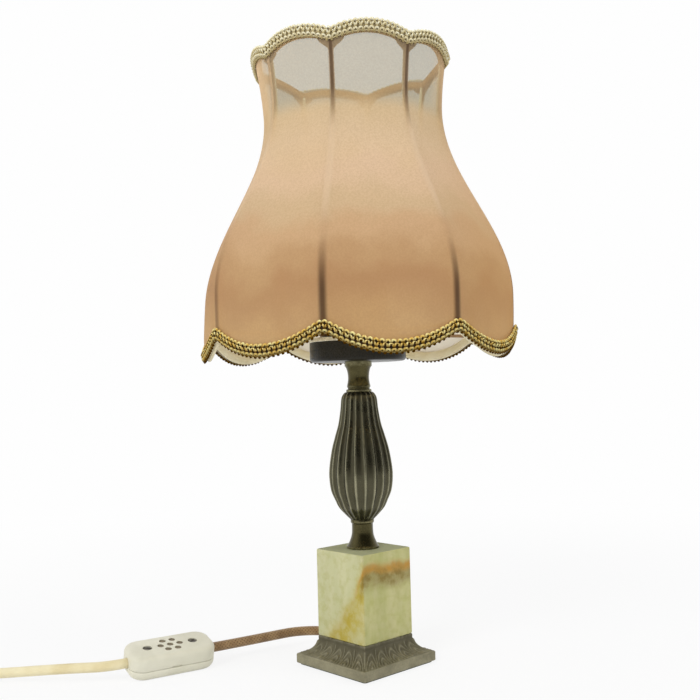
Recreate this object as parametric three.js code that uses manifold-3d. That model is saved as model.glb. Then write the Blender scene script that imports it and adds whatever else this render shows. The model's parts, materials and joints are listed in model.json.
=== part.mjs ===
// Bedside lamp: a bell-shaped cloth shade on a wire frame, a fluted metal stem with a drip dish,
// a square onyx block on a moulded plinth, and a mains cord with an in-line rocker switch and a plug.
// Millimetres, +Z up. The origin is the centre of the underside, X and Y run along the plinth's sides.
import * as THREE from 'three';
import { mergeVertices } from 'three/addons/utils/BufferGeometryUtils.js';
import Module from 'manifold-3d';

const wasm = await Module();
wasm.setup();

// Clearances shared by every fit
const GAP = 0.3;
const FIT = 0.2;

// Base: felt, plinth and onyx block, stacked from the table up
const FELT_THICK = 1;
const FELT_INSET = 1.5;
const PLINTH_SIDE = 62;
const SLAB_THICK = 6;
const SLAB_CHAMFER = 0.8;
const CAVETTO_HEIGHT = 8.5;
const PLINTH_COLLAR = 2.5;
const PLINTH_TOP_PLATE = 3;
const PLINTH_WALL = 7;
const SLAB_RECESS_WALL = 7;
const SLAB_RECESS_DEPTH = 3.5;
const ONYX_SIDE = 42;
const ONYX_HEIGHT = 54;
const ONYX_CHAMFER = 0.8;

// Threaded tube that clamps the stack
const TUBE_RADIUS = 5;
const TUBE_BORE = 3.9;
const TUBE_END = 2;
const NUT_FLAT = 8.5;
const NUT_THICK = 5;
const WASHER_RADIUS = 10;
const WASHER_THICK = 1.2;

// Stem: foot, fluted body and neck
const FOOT_HEIGHT = 18;
const FOOT_RADIUS = 10.2;
const FOOT_WAIST = 6.7;
const FOOT_RING = 7.4;
const BODY_HEIGHT = 80.3;
const BODY_RADIUS = 20.3;
const BODY_TOP_RADIUS = 8.7;
const BODY_SHOULDER_RADIUS = 11.4;
const FLUTES = 20;
const FLUTE_DEPTH = 1.5;
const NECK_HEIGHT = 19.4;
const NECK_WAIST = 6.7;
const NECK_RING = 8.1;
const NECK_FLANGE = 8.7;
const NECK_FLANGE_THICK = 3.4;

// Drip dish
const DISH_RADIUS = 30.7;
const DISH_WALL = 1.2;
const DISH_FLOOR = 1.5;
const DISH_HEIGHT = 12.4;
const DISH_RIM_HEIGHT = 2.5;
const DISH_RIM_OVERHANG = 0.3;

// Lampholder
const HOLDER_CAP_HEIGHT = 14.4;
const HOLDER_CAP_RADIUS = 18.8;
const HOLDER_FLANGE = 24.3;
const HOLDER_FLANGE_THICK = 2.6;
const HOLDER_LEDGE = 14;
const SHELL_RADIUS = 19.8;
const SHELL_HEIGHT = 34.5;
const CORE_RADIUS = 15.7;
const CORE_HEIGHT = 6.5;
const SOCKET_RADIUS = 14.8;
const SOCKET_WALL = 0.9;
const SOCKET_HEIGHT = 24;
const CONTACT_RADIUS = 4;
const CONTACT_HEIGHT = 1.6;
const SHADE_RING_RADIUS = 24.5;
const SHADE_RING_HEIGHT = 6.6;

// Bulb
const BULB_CAP_RADIUS = 13.1;
const BULB_CAP_HEIGHT = 25;
const BULB_RADIUS = 30;
const BULB_LENGTH = 78;

// Shade: heights are measured up from the cover's lower edge at a rib
const RIBS = 8;
const RIB_TURN = -9.3;
const COLUMNS_PER_PANEL = 6;
const COVER_ROWS = 11;
const SHADE_HEIGHT = 176.8;
const HIP_HEIGHT = 24;
const HIP_RADIUS = 98.5;
const RIM_TUCK = 0.6;
const WAIST_HEIGHT = 142;
const WAIST_RADIUS = 58;
const TOP_RADIUS = 61.5;
const BOTTOM_SCALLOP = 12.5;
const TOP_SCALLOP = 5;
const COVER_THICK = 0.8;
const RIM_FLATNESS = 0.2;
const PANEL_FLATNESS = 0.8;
const BRAID_HEIGHT = 7.2;
const BRAID_THICK = 1.8;
const BRAID_LAP = 1;
const BINDING_HEIGHT = 5.6;
const BINDING_THICK = 0.6;
const WIRE_RADIUS = 1.1;
const RIM_WIRE_SET = 2.6;
const FITTER_RADIUS = 24;
const FITTER_THICK = 2.1;
const ARMS = 4;

// Cord, its bush and the leads inside the tube
const CORD_RADIUS = 3;
const CORD_BEND = 29.5;
const CORD_EXIT_X = 9.5;
const CORD_EXIT_HEIGHT = 10.6;
const BUSH_WALL = 1.1;
const BUSH_TIP_WALL = 0.6;
const BUSH_TAPER = 12.5;
const LEAD_RADIUS = 0.9;
const LEAD_SPREAD = 1.6;
const TERMINAL_SPREAD = 7;

// In-line switch, lying on the table with its screw side up, rolled onto the front edge of its underside
const SWITCH_REACH = 80.8;
const SWITCH_ANGLE = -11;
const SWITCH_ROLL = 13;
const SWITCH_LENGTH = 54.5;
const SWITCH_WIDTH = 26;
const SWITCH_CORNER = 8.5;
const SWITCH_ROUND = 3;
const SWITCH_HULL = 4.5;
const SWITCH_WALL = 2;
const LOWER_HEIGHT = 6.5;
const UPPER_HEIGHT = 9.1;
const ROOF_THICK = 2.2;
const SCREW_SPACING = 29.4;
const SCREW_HEAD = 2.6;
const SCREW_HEAD_THICK = 1.1;
const SCREW_SHANK = 1.5;
const SCREW_SINK = 1.4;
const SCREW_LENGTH = 9;
const POST_RADIUS = 3;
const ROSETTE_RADIUS = 6.2;
const ROSETTE_HOLE = 2.1;
const ROSETTE_DEPTH = 0.9;
const ROCKER_LENGTH = 15.6;
const ROCKER_WIDTH = 9.6;
const ROCKER_HEIGHT = 4.6;
const ROCKER_RECESS = 1.4;
const ROCKER_TILT = 8;
const ROCKER_CLEAR = 0.7;
const PIN_RADIUS = 1;
const PIN_HEIGHT = 4.2;
const BOSS_THICK = 2.5;
const TERMINAL_LENGTH = 7;
const TERMINAL_WIDTH = 3;
const TERMINAL_HEIGHT = 5;
const CORD_IN_SWITCH = 7;
const CORD_SEAT = 1.6;

// Coil of spare cord, its tie and the plug
const WALL_TURN = 38;
const WALL_RUN = 100;
const COIL_OUTER = 47.5;
const COIL_PITCH = 6.7;
const COIL_TURNS_IN = 3.5;
const COIL_TURNS_OUT = 3.4;
const COIL_LIFT = 1.4;
const COIL_LAYER = 6.8;
const COIL_TAIL = 90;
const TIE_THICK = 0.8;
const TIE_WIDTH = 4;
const TIE_ANGLE = 316;
const PLUG_RELIEF = 22;
const PLUG_LENGTH = 34;
const PLUG_REAR = 12;
const PLUG_FRONT = 26;
const PLUG_THICK = 13.6;
const PLUG_LIFT = 0.2;
const PLUG_PIN_RADIUS = 2;
const PLUG_PIN_LENGTH = 19;
const PLUG_PIN_SPACING = 18.6;

// Heights that follow from the stack
const PLINTH_HEIGHT = SLAB_THICK + CAVETTO_HEIGHT + PLINTH_COLLAR;
const Z_SLAB_TOP = FELT_THICK + SLAB_THICK;
const Z_ONYX = FELT_THICK + PLINTH_HEIGHT;
const Z_FOOT = Z_ONYX + ONYX_HEIGHT;
const Z_BODY = Z_FOOT + FOOT_HEIGHT;
const Z_NECK = Z_BODY + BODY_HEIGHT;
const Z_DISH = Z_NECK + NECK_HEIGHT;
const Z_DISH_FLOOR = Z_DISH + DISH_FLOOR;
const Z_HOLDER_TOP = Z_DISH_FLOOR + HOLDER_CAP_HEIGHT;
const Z_CORE_TOP = Z_HOLDER_TOP + CORE_HEIGHT;
const Z_CONTACT_TOP = Z_CORE_TOP + CONTACT_HEIGHT;
const Z_FITTER = Z_HOLDER_TOP + GAP + FITTER_THICK / 2;
const Z_POCKET_TOP = Z_ONYX - PLINTH_TOP_PLATE;
const Z_NUT = Z_POCKET_TOP - WASHER_THICK - NUT_THICK;
const STEM_BORE = TUBE_RADIUS + FIT;
const SHELL_BORE = CORE_RADIUS + GAP;
const POCKET_HALF = ONYX_SIDE / 2 - PLINTH_WALL;
const CORD_END = POCKET_HALF - 0.5;
const BUSH_END = ONYX_SIDE / 2 + BUSH_TAPER;

// The frame's wires lie just inside the cover, and its lower ring meets the arms at the ribs
const RIM_RADIUS = HIP_RADIUS - RIM_TUCK;
const WIRE_OFFSET = -(GAP + 0.15 + WIRE_RADIUS);
const Z_SHADE = Z_FITTER - RIM_WIRE_SET;
const SWITCH_HEIGHT = LOWER_HEIGHT + UPPER_HEIGHT;
const CORD_LEVEL = LOWER_HEIGHT + CORD_SEAT;
const ROLL = THREE.MathUtils.degToRad(SWITCH_ROLL);
const SWITCH_LIFT = (SWITCH_WIDTH / 2 - SWITCH_HULL) * Math.sin(ROLL);
const CORD_HIGH = CORD_LEVEL * Math.cos(ROLL) + SWITCH_LIFT;
const BORE_SIDES = 20;

// The cord's bend out of the plinth ends on the switch's own line, which gives the switch its place
const LAMP_TURN = 90 + SWITCH_ANGLE;
const SWITCH_PLACE = new THREE.Vector3(CORD_EXIT_X - CORD_BEND, BUSH_END + 1, 0)
  .addScaledVector(headingOf(LAMP_TURN), CORD_BEND).addScaledVector(headingOf(90 + LAMP_TURN), SWITCH_REACH);

const lamp = new THREE.Group();
lamp.name = 'bedside_lamp';

// Finishes
const paint = (color, roughness, metalness) => () =>
  new THREE.MeshStandardMaterial({ color, roughness, metalness });
const bronze = paint(0x5c5744, 0.45, 0.85);
const castMetal = paint(0x827a69, 0.5, 0.8);
const brass = paint(0xc8b06a, 0.35, 0.9);
const steel = paint(0x8d8f92, 0.4, 0.9);
const black = paint(0x1f1d1d, 0.5, 0.1);
const onyx = paint(0xc6c790, 0.25, 0);
const cloth = paint(0xd6b78c, 0.9, 0);
const gold = paint(0xc9a24a, 0.6, 0.3);
const cream = paint(0xdccda0, 0.85, 0);
const ivory = paint(0xd8d2c0, 0.5, 0);
const felt = paint(0x3c4a36, 1, 0);
const ceramic = paint(0xeae6da, 0.5, 0);
const glass = paint(0xf3f1ea, 0.2, 0);
const brownCord = paint(0x97734b, 0.7, 0);
const creamCord = paint(0xe6cd98, 0.6, 0);

// A closed geometry with shared corners and its faces pointing out
function closed(geometry) {
  const bare = geometry.index ? geometry : geometry.clone();
  bare.deleteAttribute('normal');
  bare.deleteAttribute('uv');
  const merged = mergeVertices(bare, 1e-4);
  const p = merged.attributes.position;
  const idx = merged.index.array;
  const kept = [];
  let volume = 0;
  const a = new THREE.Vector3();
  const b = new THREE.Vector3();
  const c = new THREE.Vector3();
  for (let i = 0; i < idx.length; i += 3) {
    const [u, v, w] = [idx[i], idx[i + 1], idx[i + 2]];
    if (u === v || v === w || w === u) continue;
    kept.push(u, v, w);
    a.fromBufferAttribute(p, u);
    b.fromBufferAttribute(p, v);
    c.fromBufferAttribute(p, w);
    volume += a.dot(b.cross(c));
  }
  if (volume < 0) kept.reverse();
  merged.setIndex(kept);
  return merged;
}

// A geometry as a solid for joining and cutting, and back again
function solid(geometry) {
  const g = closed(geometry);
  const vertProperties = new Float32Array(g.attributes.position.array);
  const triVerts = new Uint32Array(g.index.array);
  return new wasm.Manifold(new wasm.Mesh({ numProp: 3, vertProperties, triVerts }));
}

function fromSolid(body) {
  const mesh = body.getMesh();
  const g = new THREE.BufferGeometry();
  g.setAttribute('position', new THREE.BufferAttribute(new Float32Array(mesh.vertProperties), 3));
  g.setIndex(Array.from(mesh.triVerts));
  return g;
}

function cut(body, ...tools) {
  return fromSolid(tools.reduce((rest, tool) => rest.subtract(solid(tool)), solid(body)));
}

function join(...bodies) {
  return fromSolid(bodies.slice(1).reduce((all, b) => all.add(solid(b)), solid(bodies[0])));
}

function place(name, geometry, material, parent = lamp) {
  const g = closed(geometry);
  g.computeVertexNormals();
  const mesh = new THREE.Mesh(g, material());
  mesh.name = name;
  parent.add(mesh);
  return mesh;
}

// A turned piece about Z: the profile is a list of [radius, height]
function turned(profile, sides = BORE_SIDES) {
  const points = profile.map(([r, z]) => new THREE.Vector2(r, z));
  return new THREE.LatheGeometry(points, sides).rotateX(Math.PI / 2);
}

// The same with a bore: the profile closes on itself
function turnedRing(profile, sides = BORE_SIDES) {
  return turned([...profile, profile[0]], sides);
}

// A cylinder along Z between two heights
function rod(radius, z0, z1, sides = BORE_SIDES) {
  const g = new THREE.CylinderGeometry(radius, radius, z1 - z0, sides);
  return g.rotateX(Math.PI / 2).translate(0, 0, (z0 + z1) / 2);
}

function box(x0, x1, y0, y1, z0, z1) {
  const g = new THREE.BoxGeometry(x1 - x0, y1 - y0, z1 - z0);
  return g.translate((x0 + x1) / 2, (y0 + y1) / 2, (z0 + z1) / 2);
}

// A round wire or cord along a curve
function tube(curve, radius, steps, sides) {
  const section = new THREE.Shape();
  for (let i = 0; i < sides; i += 1) {
    const a = (2 * Math.PI * i) / sides;
    const x = radius * Math.cos(a);
    const y = radius * Math.sin(a);
    if (i === 0) section.moveTo(x, y);
    else section.lineTo(x, y);
  }
  section.closePath();
  return new THREE.ExtrudeGeometry(section, { steps, extrudePath: curve, curveSegments: 1 });
}

function through(points) {
  return new THREE.CatmullRomCurve3(points, false, 'centripetal');
}

// A skin over rings of points: looped ends join, open ends are capped
function skin(rings, looped) {
  const n = rings[0].length;
  const positions = rings.flat().flatMap((p) => [p.x, p.y, p.z]);
  const index = [];
  const last = looped ? rings.length : rings.length - 1;
  for (let i = 0; i < last; i += 1) {
    const a = i * n;
    const b = ((i + 1) % rings.length) * n;
    for (let j = 0; j < n; j += 1) {
      const k = (j + 1) % n;
      index.push(a + j, b + j, b + k, a + j, b + k, a + k);
    }
  }
  if (!looped) {
    const end = (rings.length - 1) * n;
    for (let j = 1; j < n - 1; j += 1) {
      index.push(0, j, j + 1);
      index.push(end, end + j + 1, end + j);
    }
  }
  const g = new THREE.BufferGeometry();
  g.setAttribute('position', new THREE.Float32BufferAttribute(positions, 3));
  g.setIndex(index);
  return g;
}

function squareRing(half, z) {
  const corners = [[-1, -1], [1, -1], [1, 1], [-1, 1]];
  return corners.map(([x, y]) => new THREE.Vector3(x * half, y * half, z));
}

// A square ring with its corners cut off
function chamferedRing(half, chamfer, z) {
  const e = half - chamfer;
  const outline = [[-e, -half], [e, -half], [half, -e], [half, e], [e, half], [-e, half], [-half, e],
    [-half, -e]];
  return outline.map(([x, y]) => new THREE.Vector3(x, y, z));
}

// Felt under the plinth
function makeFelt() {
  const half = PLINTH_SIDE / 2 - FELT_INSET;
  place('felt_pad', box(-half, half, -half, half, 0, FELT_THICK), felt);
}

// Plinth: slab, hollow moulding and short collar, hollowed from below and bored for the tube and bush
function makePlinth() {
  const slab = PLINTH_SIDE / 2;
  const top = ONYX_SIDE / 2;
  const lip = slab - SLAB_CHAMFER;
  const rings = [squareRing(slab, FELT_THICK), squareRing(slab, Z_SLAB_TOP - SLAB_CHAMFER),
    squareRing(lip, Z_SLAB_TOP)];
  const steps = 6;
  for (let i = 1; i <= steps; i += 1) {
    const a = (i / steps) * (Math.PI / 2);
    const half = top + (lip - top) * (1 - Math.sin(a));
    rings.push(squareRing(half, Z_SLAB_TOP + CAVETTO_HEIGHT * (1 - Math.cos(a))));
  }
  rings.push(squareRing(top, Z_ONYX));
  const recess = slab - SLAB_RECESS_WALL;
  const under = FELT_THICK - 1;
  const bushRun = slab + FIT;
  const bushHole = rod(CORD_RADIUS + GAP + BUSH_WALL + FIT, 0, bushRun, 16);
  bushHole.rotateX(-Math.PI / 2).translate(CORD_EXIT_X, 0, CORD_EXIT_HEIGHT);
  const body = cut(
    skin(rings, false),
    box(-recess, recess, -recess, recess, under, FELT_THICK + SLAB_RECESS_DEPTH),
    box(-POCKET_HALF, POCKET_HALF, -POCKET_HALF, POCKET_HALF, under, Z_POCKET_TOP),
    rod(STEM_BORE, Z_POCKET_TOP - 1, Z_ONYX + 1),
    bushHole,
  );
  place('base_plinth', body, castMetal);
}

// Onyx block with eased edges and a bore
function makeOnyx() {
  const half = ONYX_SIDE / 2;
  const z1 = Z_ONYX + ONYX_HEIGHT;
  const inner = half - ONYX_CHAMFER;
  const rings = [
    chamferedRing(inner, ONYX_CHAMFER, Z_ONYX),
    chamferedRing(half, ONYX_CHAMFER, Z_ONYX + ONYX_CHAMFER),
    chamferedRing(half, ONYX_CHAMFER, z1 - ONYX_CHAMFER),
    chamferedRing(inner, ONYX_CHAMFER, z1),
  ];
  place('onyx_block', cut(skin(rings, false), rod(STEM_BORE, Z_ONYX - 1, z1 + 1)), onyx);
}

// Hollow threaded tube, with its washer and nut under the plinth's top plate
function makeTube() {
  const z0 = Z_NUT - TUBE_END;
  const z1 = Z_DISH_FLOOR + TUBE_RADIUS;
  const tubeProfile = [[TUBE_BORE, z0], [TUBE_RADIUS, z0], [TUBE_RADIUS, z1], [TUBE_BORE, z1]];
  place('threaded_tube', turnedRing(tubeProfile, 16), steel);
  const zw = Z_POCKET_TOP - WASHER_THICK;
  const washer = [[STEM_BORE, zw], [WASHER_RADIUS, zw], [WASHER_RADIUS, Z_POCKET_TOP],
    [STEM_BORE, Z_POCKET_TOP]];
  place('base_washer', turnedRing(washer), steel);
  const hex = new THREE.CylinderGeometry(NUT_FLAT / Math.cos(Math.PI / 6), NUT_FLAT / Math.cos(Math.PI / 6),
    NUT_THICK, 6);
  hex.rotateX(Math.PI / 2).rotateZ(Math.PI / 6).translate(0, 0, Z_NUT + NUT_THICK / 2);
  place('base_nut', cut(hex, rod(STEM_BORE, Z_NUT - 1, zw + 1)), steel);
}

// Turned foot between the onyx and the fluted body
function makeFoot() {
  const flare = FOOT_RADIUS - FOOT_WAIST;
  const ringThick = 1.8;
  const profile = [[STEM_BORE, Z_FOOT], [FOOT_RADIUS, Z_FOOT], [FOOT_RADIUS, Z_FOOT + 0.08 * FOOT_HEIGHT]];
  const steps = 5;
  for (let i = 1; i <= steps; i += 1) {
    const t = i / steps;
    const z = Z_FOOT + FOOT_HEIGHT * (0.1 + 0.5 * t);
    profile.push([FOOT_WAIST + 0.85 * flare * (1 - t) ** 1.8, z]);
  }
  profile.push([FOOT_WAIST, Z_BODY - ringThick - 0.6]);
  profile.push([FOOT_RING, Z_BODY - ringThick], [FOOT_RING, Z_BODY], [STEM_BORE, Z_BODY]);
  place('stem_foot', turnedRing(profile), bronze);
}

// Radius of the fluted body's ridges at a share of its height
function bodyRadius(t) {
  const control = [
    [0, FOOT_RING], [0.045, FOOT_RING + 0.28 * (BODY_RADIUS - FOOT_RING)],
    [0.095, FOOT_RING + 0.55 * (BODY_RADIUS - FOOT_RING)], [0.15, BODY_RADIUS * 0.82],
    [0.23, BODY_RADIUS * 0.95], [0.33, BODY_RADIUS], [0.42, BODY_RADIUS * 0.985],
    [0.55, BODY_RADIUS * 0.9], [0.66, BODY_RADIUS * 0.78], [0.75, BODY_RADIUS * 0.675],
    [0.86, (BODY_SHOULDER_RADIUS + BODY_RADIUS * 0.64) / 2], [0.95, BODY_SHOULDER_RADIUS],
    [0.985, (BODY_SHOULDER_RADIUS + BODY_TOP_RADIUS) / 2], [1, BODY_TOP_RADIUS],
  ];
  const k = Math.max(1, control.findIndex(([u]) => u >= t));
  const [u0, r0] = control[k - 1];
  const [u1, r1] = control[k];
  return r0 + ((r1 - r0) * (t - u0)) / (u1 - u0);
}

// Fluted body: each flute is a hollow between two sharp ridges, fading out at both ends
function makeBody() {
  const rows = [0, 0.045, 0.095, 0.15, 0.23, 0.33, 0.42, 0.55, 0.66, 0.75, 0.86, 0.95, 0.985, 1];
  const perFlute = 3;
  const count = FLUTES * perFlute;
  const columns = [];
  for (let i = 0; i < count; i += 1) {
    const a = (2 * Math.PI * i) / count;
    const u = (i % perFlute) / perFlute;
    const dip = 1 - (2 * u - 1) ** 2;
    const at = (r, z) => new THREE.Vector3(r * Math.cos(a), r * Math.sin(a), z);
    const column = [at(STEM_BORE, Z_BODY)];
    for (const t of rows) {
      const r = bodyRadius(t);
      const share = Math.min(1, (r - FOOT_RING) / (BODY_RADIUS - FOOT_RING) + 0.15);
      column.push(at(r - FLUTE_DEPTH * share * dip, Z_BODY + t * BODY_HEIGHT));
    }
    column.push(at(STEM_BORE, Z_NECK));
    columns.push(column);
  }
  place('stem_body', skin(columns, true), bronze);
}

// Turned neck: two rings, a waist and the flange under the dish
function makeNeck() {
  const low = [[STEM_BORE, Z_NECK], [NECK_RING, Z_NECK], [NECK_RING, Z_NECK + 1.6],
    [NECK_WAIST + 0.3, Z_NECK + 2], [NECK_WAIST + 0.3, Z_NECK + 2.8], [NECK_WAIST + 0.7, Z_NECK + 3],
    [NECK_WAIST + 0.7, Z_NECK + 4.2]];
  const flange = Z_DISH - NECK_FLANGE_THICK;
  const zWaist = Z_NECK + 0.48 * NECK_HEIGHT;
  const rise = flange - zWaist;
  const high = [[NECK_WAIST, zWaist], [NECK_WAIST + 0.25, zWaist + 0.45 * rise],
    [NECK_WAIST + 0.8, zWaist + 0.8 * rise], [NECK_FLANGE - 0.5, flange], [NECK_FLANGE, flange + 0.4],
    [NECK_FLANGE, Z_DISH], [STEM_BORE, Z_DISH]];
  place('stem_neck', turnedRing([...low, ...high]), bronze);
}

// Dark cup under the holder, and the light rim on its wall
function makeDish() {
  const top = Z_DISH + DISH_HEIGHT;
  const inner = DISH_RADIUS - DISH_WALL;
  const profile = [[STEM_BORE, Z_DISH], [DISH_RADIUS - 2, Z_DISH], [DISH_RADIUS - 0.6, Z_DISH + 0.6],
    [DISH_RADIUS, Z_DISH + 2], [DISH_RADIUS, top], [inner, top], [inner, Z_DISH_FLOOR],
    [STEM_BORE, Z_DISH_FLOOR]];
  place('drip_dish', turnedRing(profile, 36), black);
  const out = DISH_RADIUS + DISH_RIM_OVERHANG;
  const rimTop = top + DISH_RIM_HEIGHT;
  const rim = [[inner - DISH_RIM_OVERHANG, top], [out, top], [out, rimTop - 0.6], [out - 0.6, rimTop],
    [inner - DISH_RIM_OVERHANG, rimTop]];
  place('dish_rim', turnedRing(rim, 36), brass);
}

// Lampholder: cap with a flange for the shade, threaded shell, ceramic core, brass thread and contact
function makeHolder() {
  const z0 = Z_DISH_FLOOR;
  const flange = Z_HOLDER_TOP - HOLDER_FLANGE_THICK;
  const hub = STEM_BORE + 4;
  const cavity = z0 + TUBE_RADIUS + 2;
  const cap = [[STEM_BORE, z0], [hub, z0], [hub, z0 + 1.8], [HOLDER_CAP_RADIUS - 1.3, z0 + 4.8],
    [HOLDER_CAP_RADIUS, z0 + 7.5], [HOLDER_CAP_RADIUS, flange], [HOLDER_FLANGE, flange],
    [HOLDER_FLANGE, Z_HOLDER_TOP], [HOLDER_LEDGE, Z_HOLDER_TOP], [HOLDER_LEDGE, cavity + 0.5],
    [STEM_BORE + 1.5, cavity], [STEM_BORE, cavity]];
  place('lampholder_cap', turnedRing(cap, 24), black);
  const top = Z_HOLDER_TOP + SHELL_HEIGHT;
  const mouth = SOCKET_RADIUS + GAP;
  const shell = [[SHELL_BORE, Z_HOLDER_TOP], [SHELL_RADIUS, Z_HOLDER_TOP], [SHELL_RADIUS, top - 1],
    [SHELL_RADIUS - 1, top], [mouth, top], [mouth, Z_CORE_TOP], [SHELL_BORE, Z_CORE_TOP]];
  place('lampholder_shell', turnedRing(shell, 24), black);
  place('socket_core', rod(CORE_RADIUS, Z_HOLDER_TOP, Z_CORE_TOP), ceramic);
  const thread = SOCKET_RADIUS - SOCKET_WALL;
  const socketTop = Z_CORE_TOP + SOCKET_HEIGHT;
  const socket = [[thread, Z_CORE_TOP], [SOCKET_RADIUS, Z_CORE_TOP], [SOCKET_RADIUS, socketTop],
    [thread, socketTop]];
  place('socket_thread', turnedRing(socket), brass);
  place('centre_contact', rod(CONTACT_RADIUS, Z_CORE_TOP, Z_CONTACT_TOP, 12), brass);
}

// Ring that screws down on the shell and keeps the shade's fitter on the flange
function makeShadeRing() {
  const z0 = Z_HOLDER_TOP + GAP + FITTER_THICK + GAP;
  const z1 = z0 + SHADE_RING_HEIGHT;
  const bore = SHELL_RADIUS + GAP;
  const profile = [[bore, z0], [SHADE_RING_RADIUS, z0], [SHADE_RING_RADIUS, z1 - 1],
    [SHADE_RING_RADIUS - 1, z1], [bore, z1]];
  place('shade_ring', turnedRing(profile, 24), black);
}

// Bulb: screw cap on the centre contact, and the glass
function makeBulb() {
  const z0 = Z_CONTACT_TOP;
  const z1 = z0 + BULB_CAP_HEIGHT;
  const cap = [[0, z0], [CONTACT_RADIUS, z0], [CONTACT_RADIUS + 0.5, z0 + 1.4],
    [BULB_CAP_RADIUS - 1.2, z0 + 3.9], [BULB_CAP_RADIUS, z0 + 5.4], [BULB_CAP_RADIUS, z1], [0, z1]];
  place('bulb_cap', turned(cap), brass);
  const neck = BULB_CAP_RADIUS - 0.4;
  const ball = z1 + BULB_LENGTH - BULB_RADIUS;
  const profile = [[0, z1], [neck, z1], [neck + 0.6, z1 + 0.12 * BULB_LENGTH],
    [neck + 0.35 * (BULB_RADIUS - neck), z1 + 0.29 * BULB_LENGTH],
    [neck + 0.72 * (BULB_RADIUS - neck), z1 + 0.41 * BULB_LENGTH]];
  const steps = 6;
  for (let i = 0; i <= steps; i += 1) {
    const a = (i / steps) * (Math.PI / 2 + 0.25) - 0.25;
    profile.push([i === steps ? 0 : BULB_RADIUS * Math.cos(a), ball + BULB_RADIUS * Math.sin(a)]);
  }
  place('bulb_glass', turned(profile), glass);
}

// Outline of the shade at a rib: hip near the bottom, waist near the top, a flared mouth
function ribRadius(h) {
  if (h <= HIP_HEIGHT) return HIP_RADIUS - (HIP_RADIUS - RIM_RADIUS) * ((HIP_HEIGHT - h) / HIP_HEIGHT) ** 2;
  if (h >= WAIST_HEIGHT) {
    const t = (h - WAIST_HEIGHT) / (SHADE_HEIGHT - WAIST_HEIGHT);
    return WAIST_RADIUS + (TOP_RADIUS - WAIST_RADIUS) * t ** 1.6;
  }
  const t = (h - HIP_HEIGHT) / (WAIST_HEIGHT - HIP_HEIGHT);
  return WAIST_RADIUS + (HIP_RADIUS - WAIST_RADIUS) * 0.5 * (1 + Math.cos(Math.PI * t));
}

// Radius of the cover at an angle and a height: the cloth runs flatter between the ribs
function coverRadius(angle, h) {
  const panel = (2 * Math.PI) / RIBS;
  const turn = angle - THREE.MathUtils.degToRad(RIB_TURN);
  const local = turn - panel * (Math.floor(turn / panel) + 0.5);
  const flat = Math.cos(panel / 2) / Math.cos(local);
  const t = THREE.MathUtils.clamp(h / SHADE_HEIGHT, 0, 1);
  const k = RIM_FLATNESS + (PANEL_FLATNESS - RIM_FLATNESS) * Math.sin(Math.PI * t);
  return ribRadius(h) * (1 - k * (1 - flat));
}

// Scallop between two ribs: 0 at a rib, 1 half way
function scallop(angle) {
  const u = ((angle - THREE.MathUtils.degToRad(RIB_TURN)) * RIBS) / (2 * Math.PI);
  return 1 - (2 * (u - Math.floor(u + 1e-6)) - 1) ** 2;
}

const bottomEdge = (angle) => -BOTTOM_SCALLOP * scallop(angle);
const topEdge = (angle) => SHADE_HEIGHT + TOP_SCALLOP * scallop(angle);

function shadePoint(angle, h, offset) {
  const r = coverRadius(angle, h) + offset;
  return new THREE.Vector3(r * Math.cos(angle), r * Math.sin(angle), Z_SHADE + h);
}

function shadeAngles() {
  const count = RIBS * COLUMNS_PER_PANEL;
  const first = THREE.MathUtils.degToRad(RIB_TURN);
  return Array.from({ length: count }, (_, i) => first + (2 * Math.PI * i) / count);
}

// A band that follows a rim, between two heights above it and two offsets from the cover's inner face
function rimBand(edge, low, high, inner, outer) {
  const rings = shadeAngles().map((a) => {
    const h = edge(a);
    return [shadePoint(a, h + low, inner), shadePoint(a, h + low, outer), shadePoint(a, h + high, outer),
      shadePoint(a, h + high, inner)];
  });
  return skin(rings, true);
}

// Cloth cover, hung from rim to rim
function makeCover() {
  const rings = shadeAngles().map((a) => {
    const low = bottomEdge(a);
    const span = topEdge(a) - low;
    const heights = Array.from({ length: COVER_ROWS + 1 }, (_, i) => low + (span * i) / COVER_ROWS);
    const inside = heights.map((h) => shadePoint(a, h, 0));
    const outside = heights.map((h) => shadePoint(a, h, COVER_THICK)).reverse();
    return [...inside, ...outside];
  });
  place('shade_cover', skin(rings, true), cloth);
}

// Braid outside both rims
function makeBraids() {
  const inner = COVER_THICK + GAP;
  const outer = inner + BRAID_THICK;
  place('bottom_braid', rimBand(bottomEdge, -BRAID_LAP, BRAID_HEIGHT - BRAID_LAP, inner, outer), gold);
  place('top_braid', rimBand(topEdge, BRAID_LAP - BRAID_HEIGHT, BRAID_LAP, inner, outer), gold);
}

// Scalloped wire along a rim
function rimWire(edge, set) {
  const sides = 5;
  const rings = shadeAngles().map((a) => {
    const h = edge(a) + set;
    return Array.from({ length: sides }, (_, i) => {
      const b = (2 * Math.PI * i) / sides;
      return shadePoint(a, h, WIRE_OFFSET + WIRE_RADIUS * Math.cos(b)).setZ(
        Z_SHADE + h + WIRE_RADIUS * Math.sin(b));
    });
  });
  return skin(rings, true);
}

function makeRims() {
  place('frame_bottom_ring', rimWire(bottomEdge, RIM_WIRE_SET), brass);
  place('frame_top_ring', rimWire(topEdge, -RIM_WIRE_SET), brass);
}

// One rib from ring to ring, just inside the cover
function makeRib(k) {
  const a = THREE.MathUtils.degToRad(RIB_TURN) + (2 * Math.PI * k) / RIBS;
  const low = RIM_WIRE_SET + WIRE_RADIUS + GAP;
  const high = SHADE_HEIGHT - RIM_WIRE_SET - WIRE_RADIUS - GAP;
  const steps = 12;
  const points = Array.from({ length: 27 }, (_, i) => shadePoint(a, low + ((high - low) * i) / 26, WIRE_OFFSET));
  place(`frame_rib_${k + 1}`, tube(through(points), WIRE_RADIUS, steps, 5), brass);
}

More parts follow.
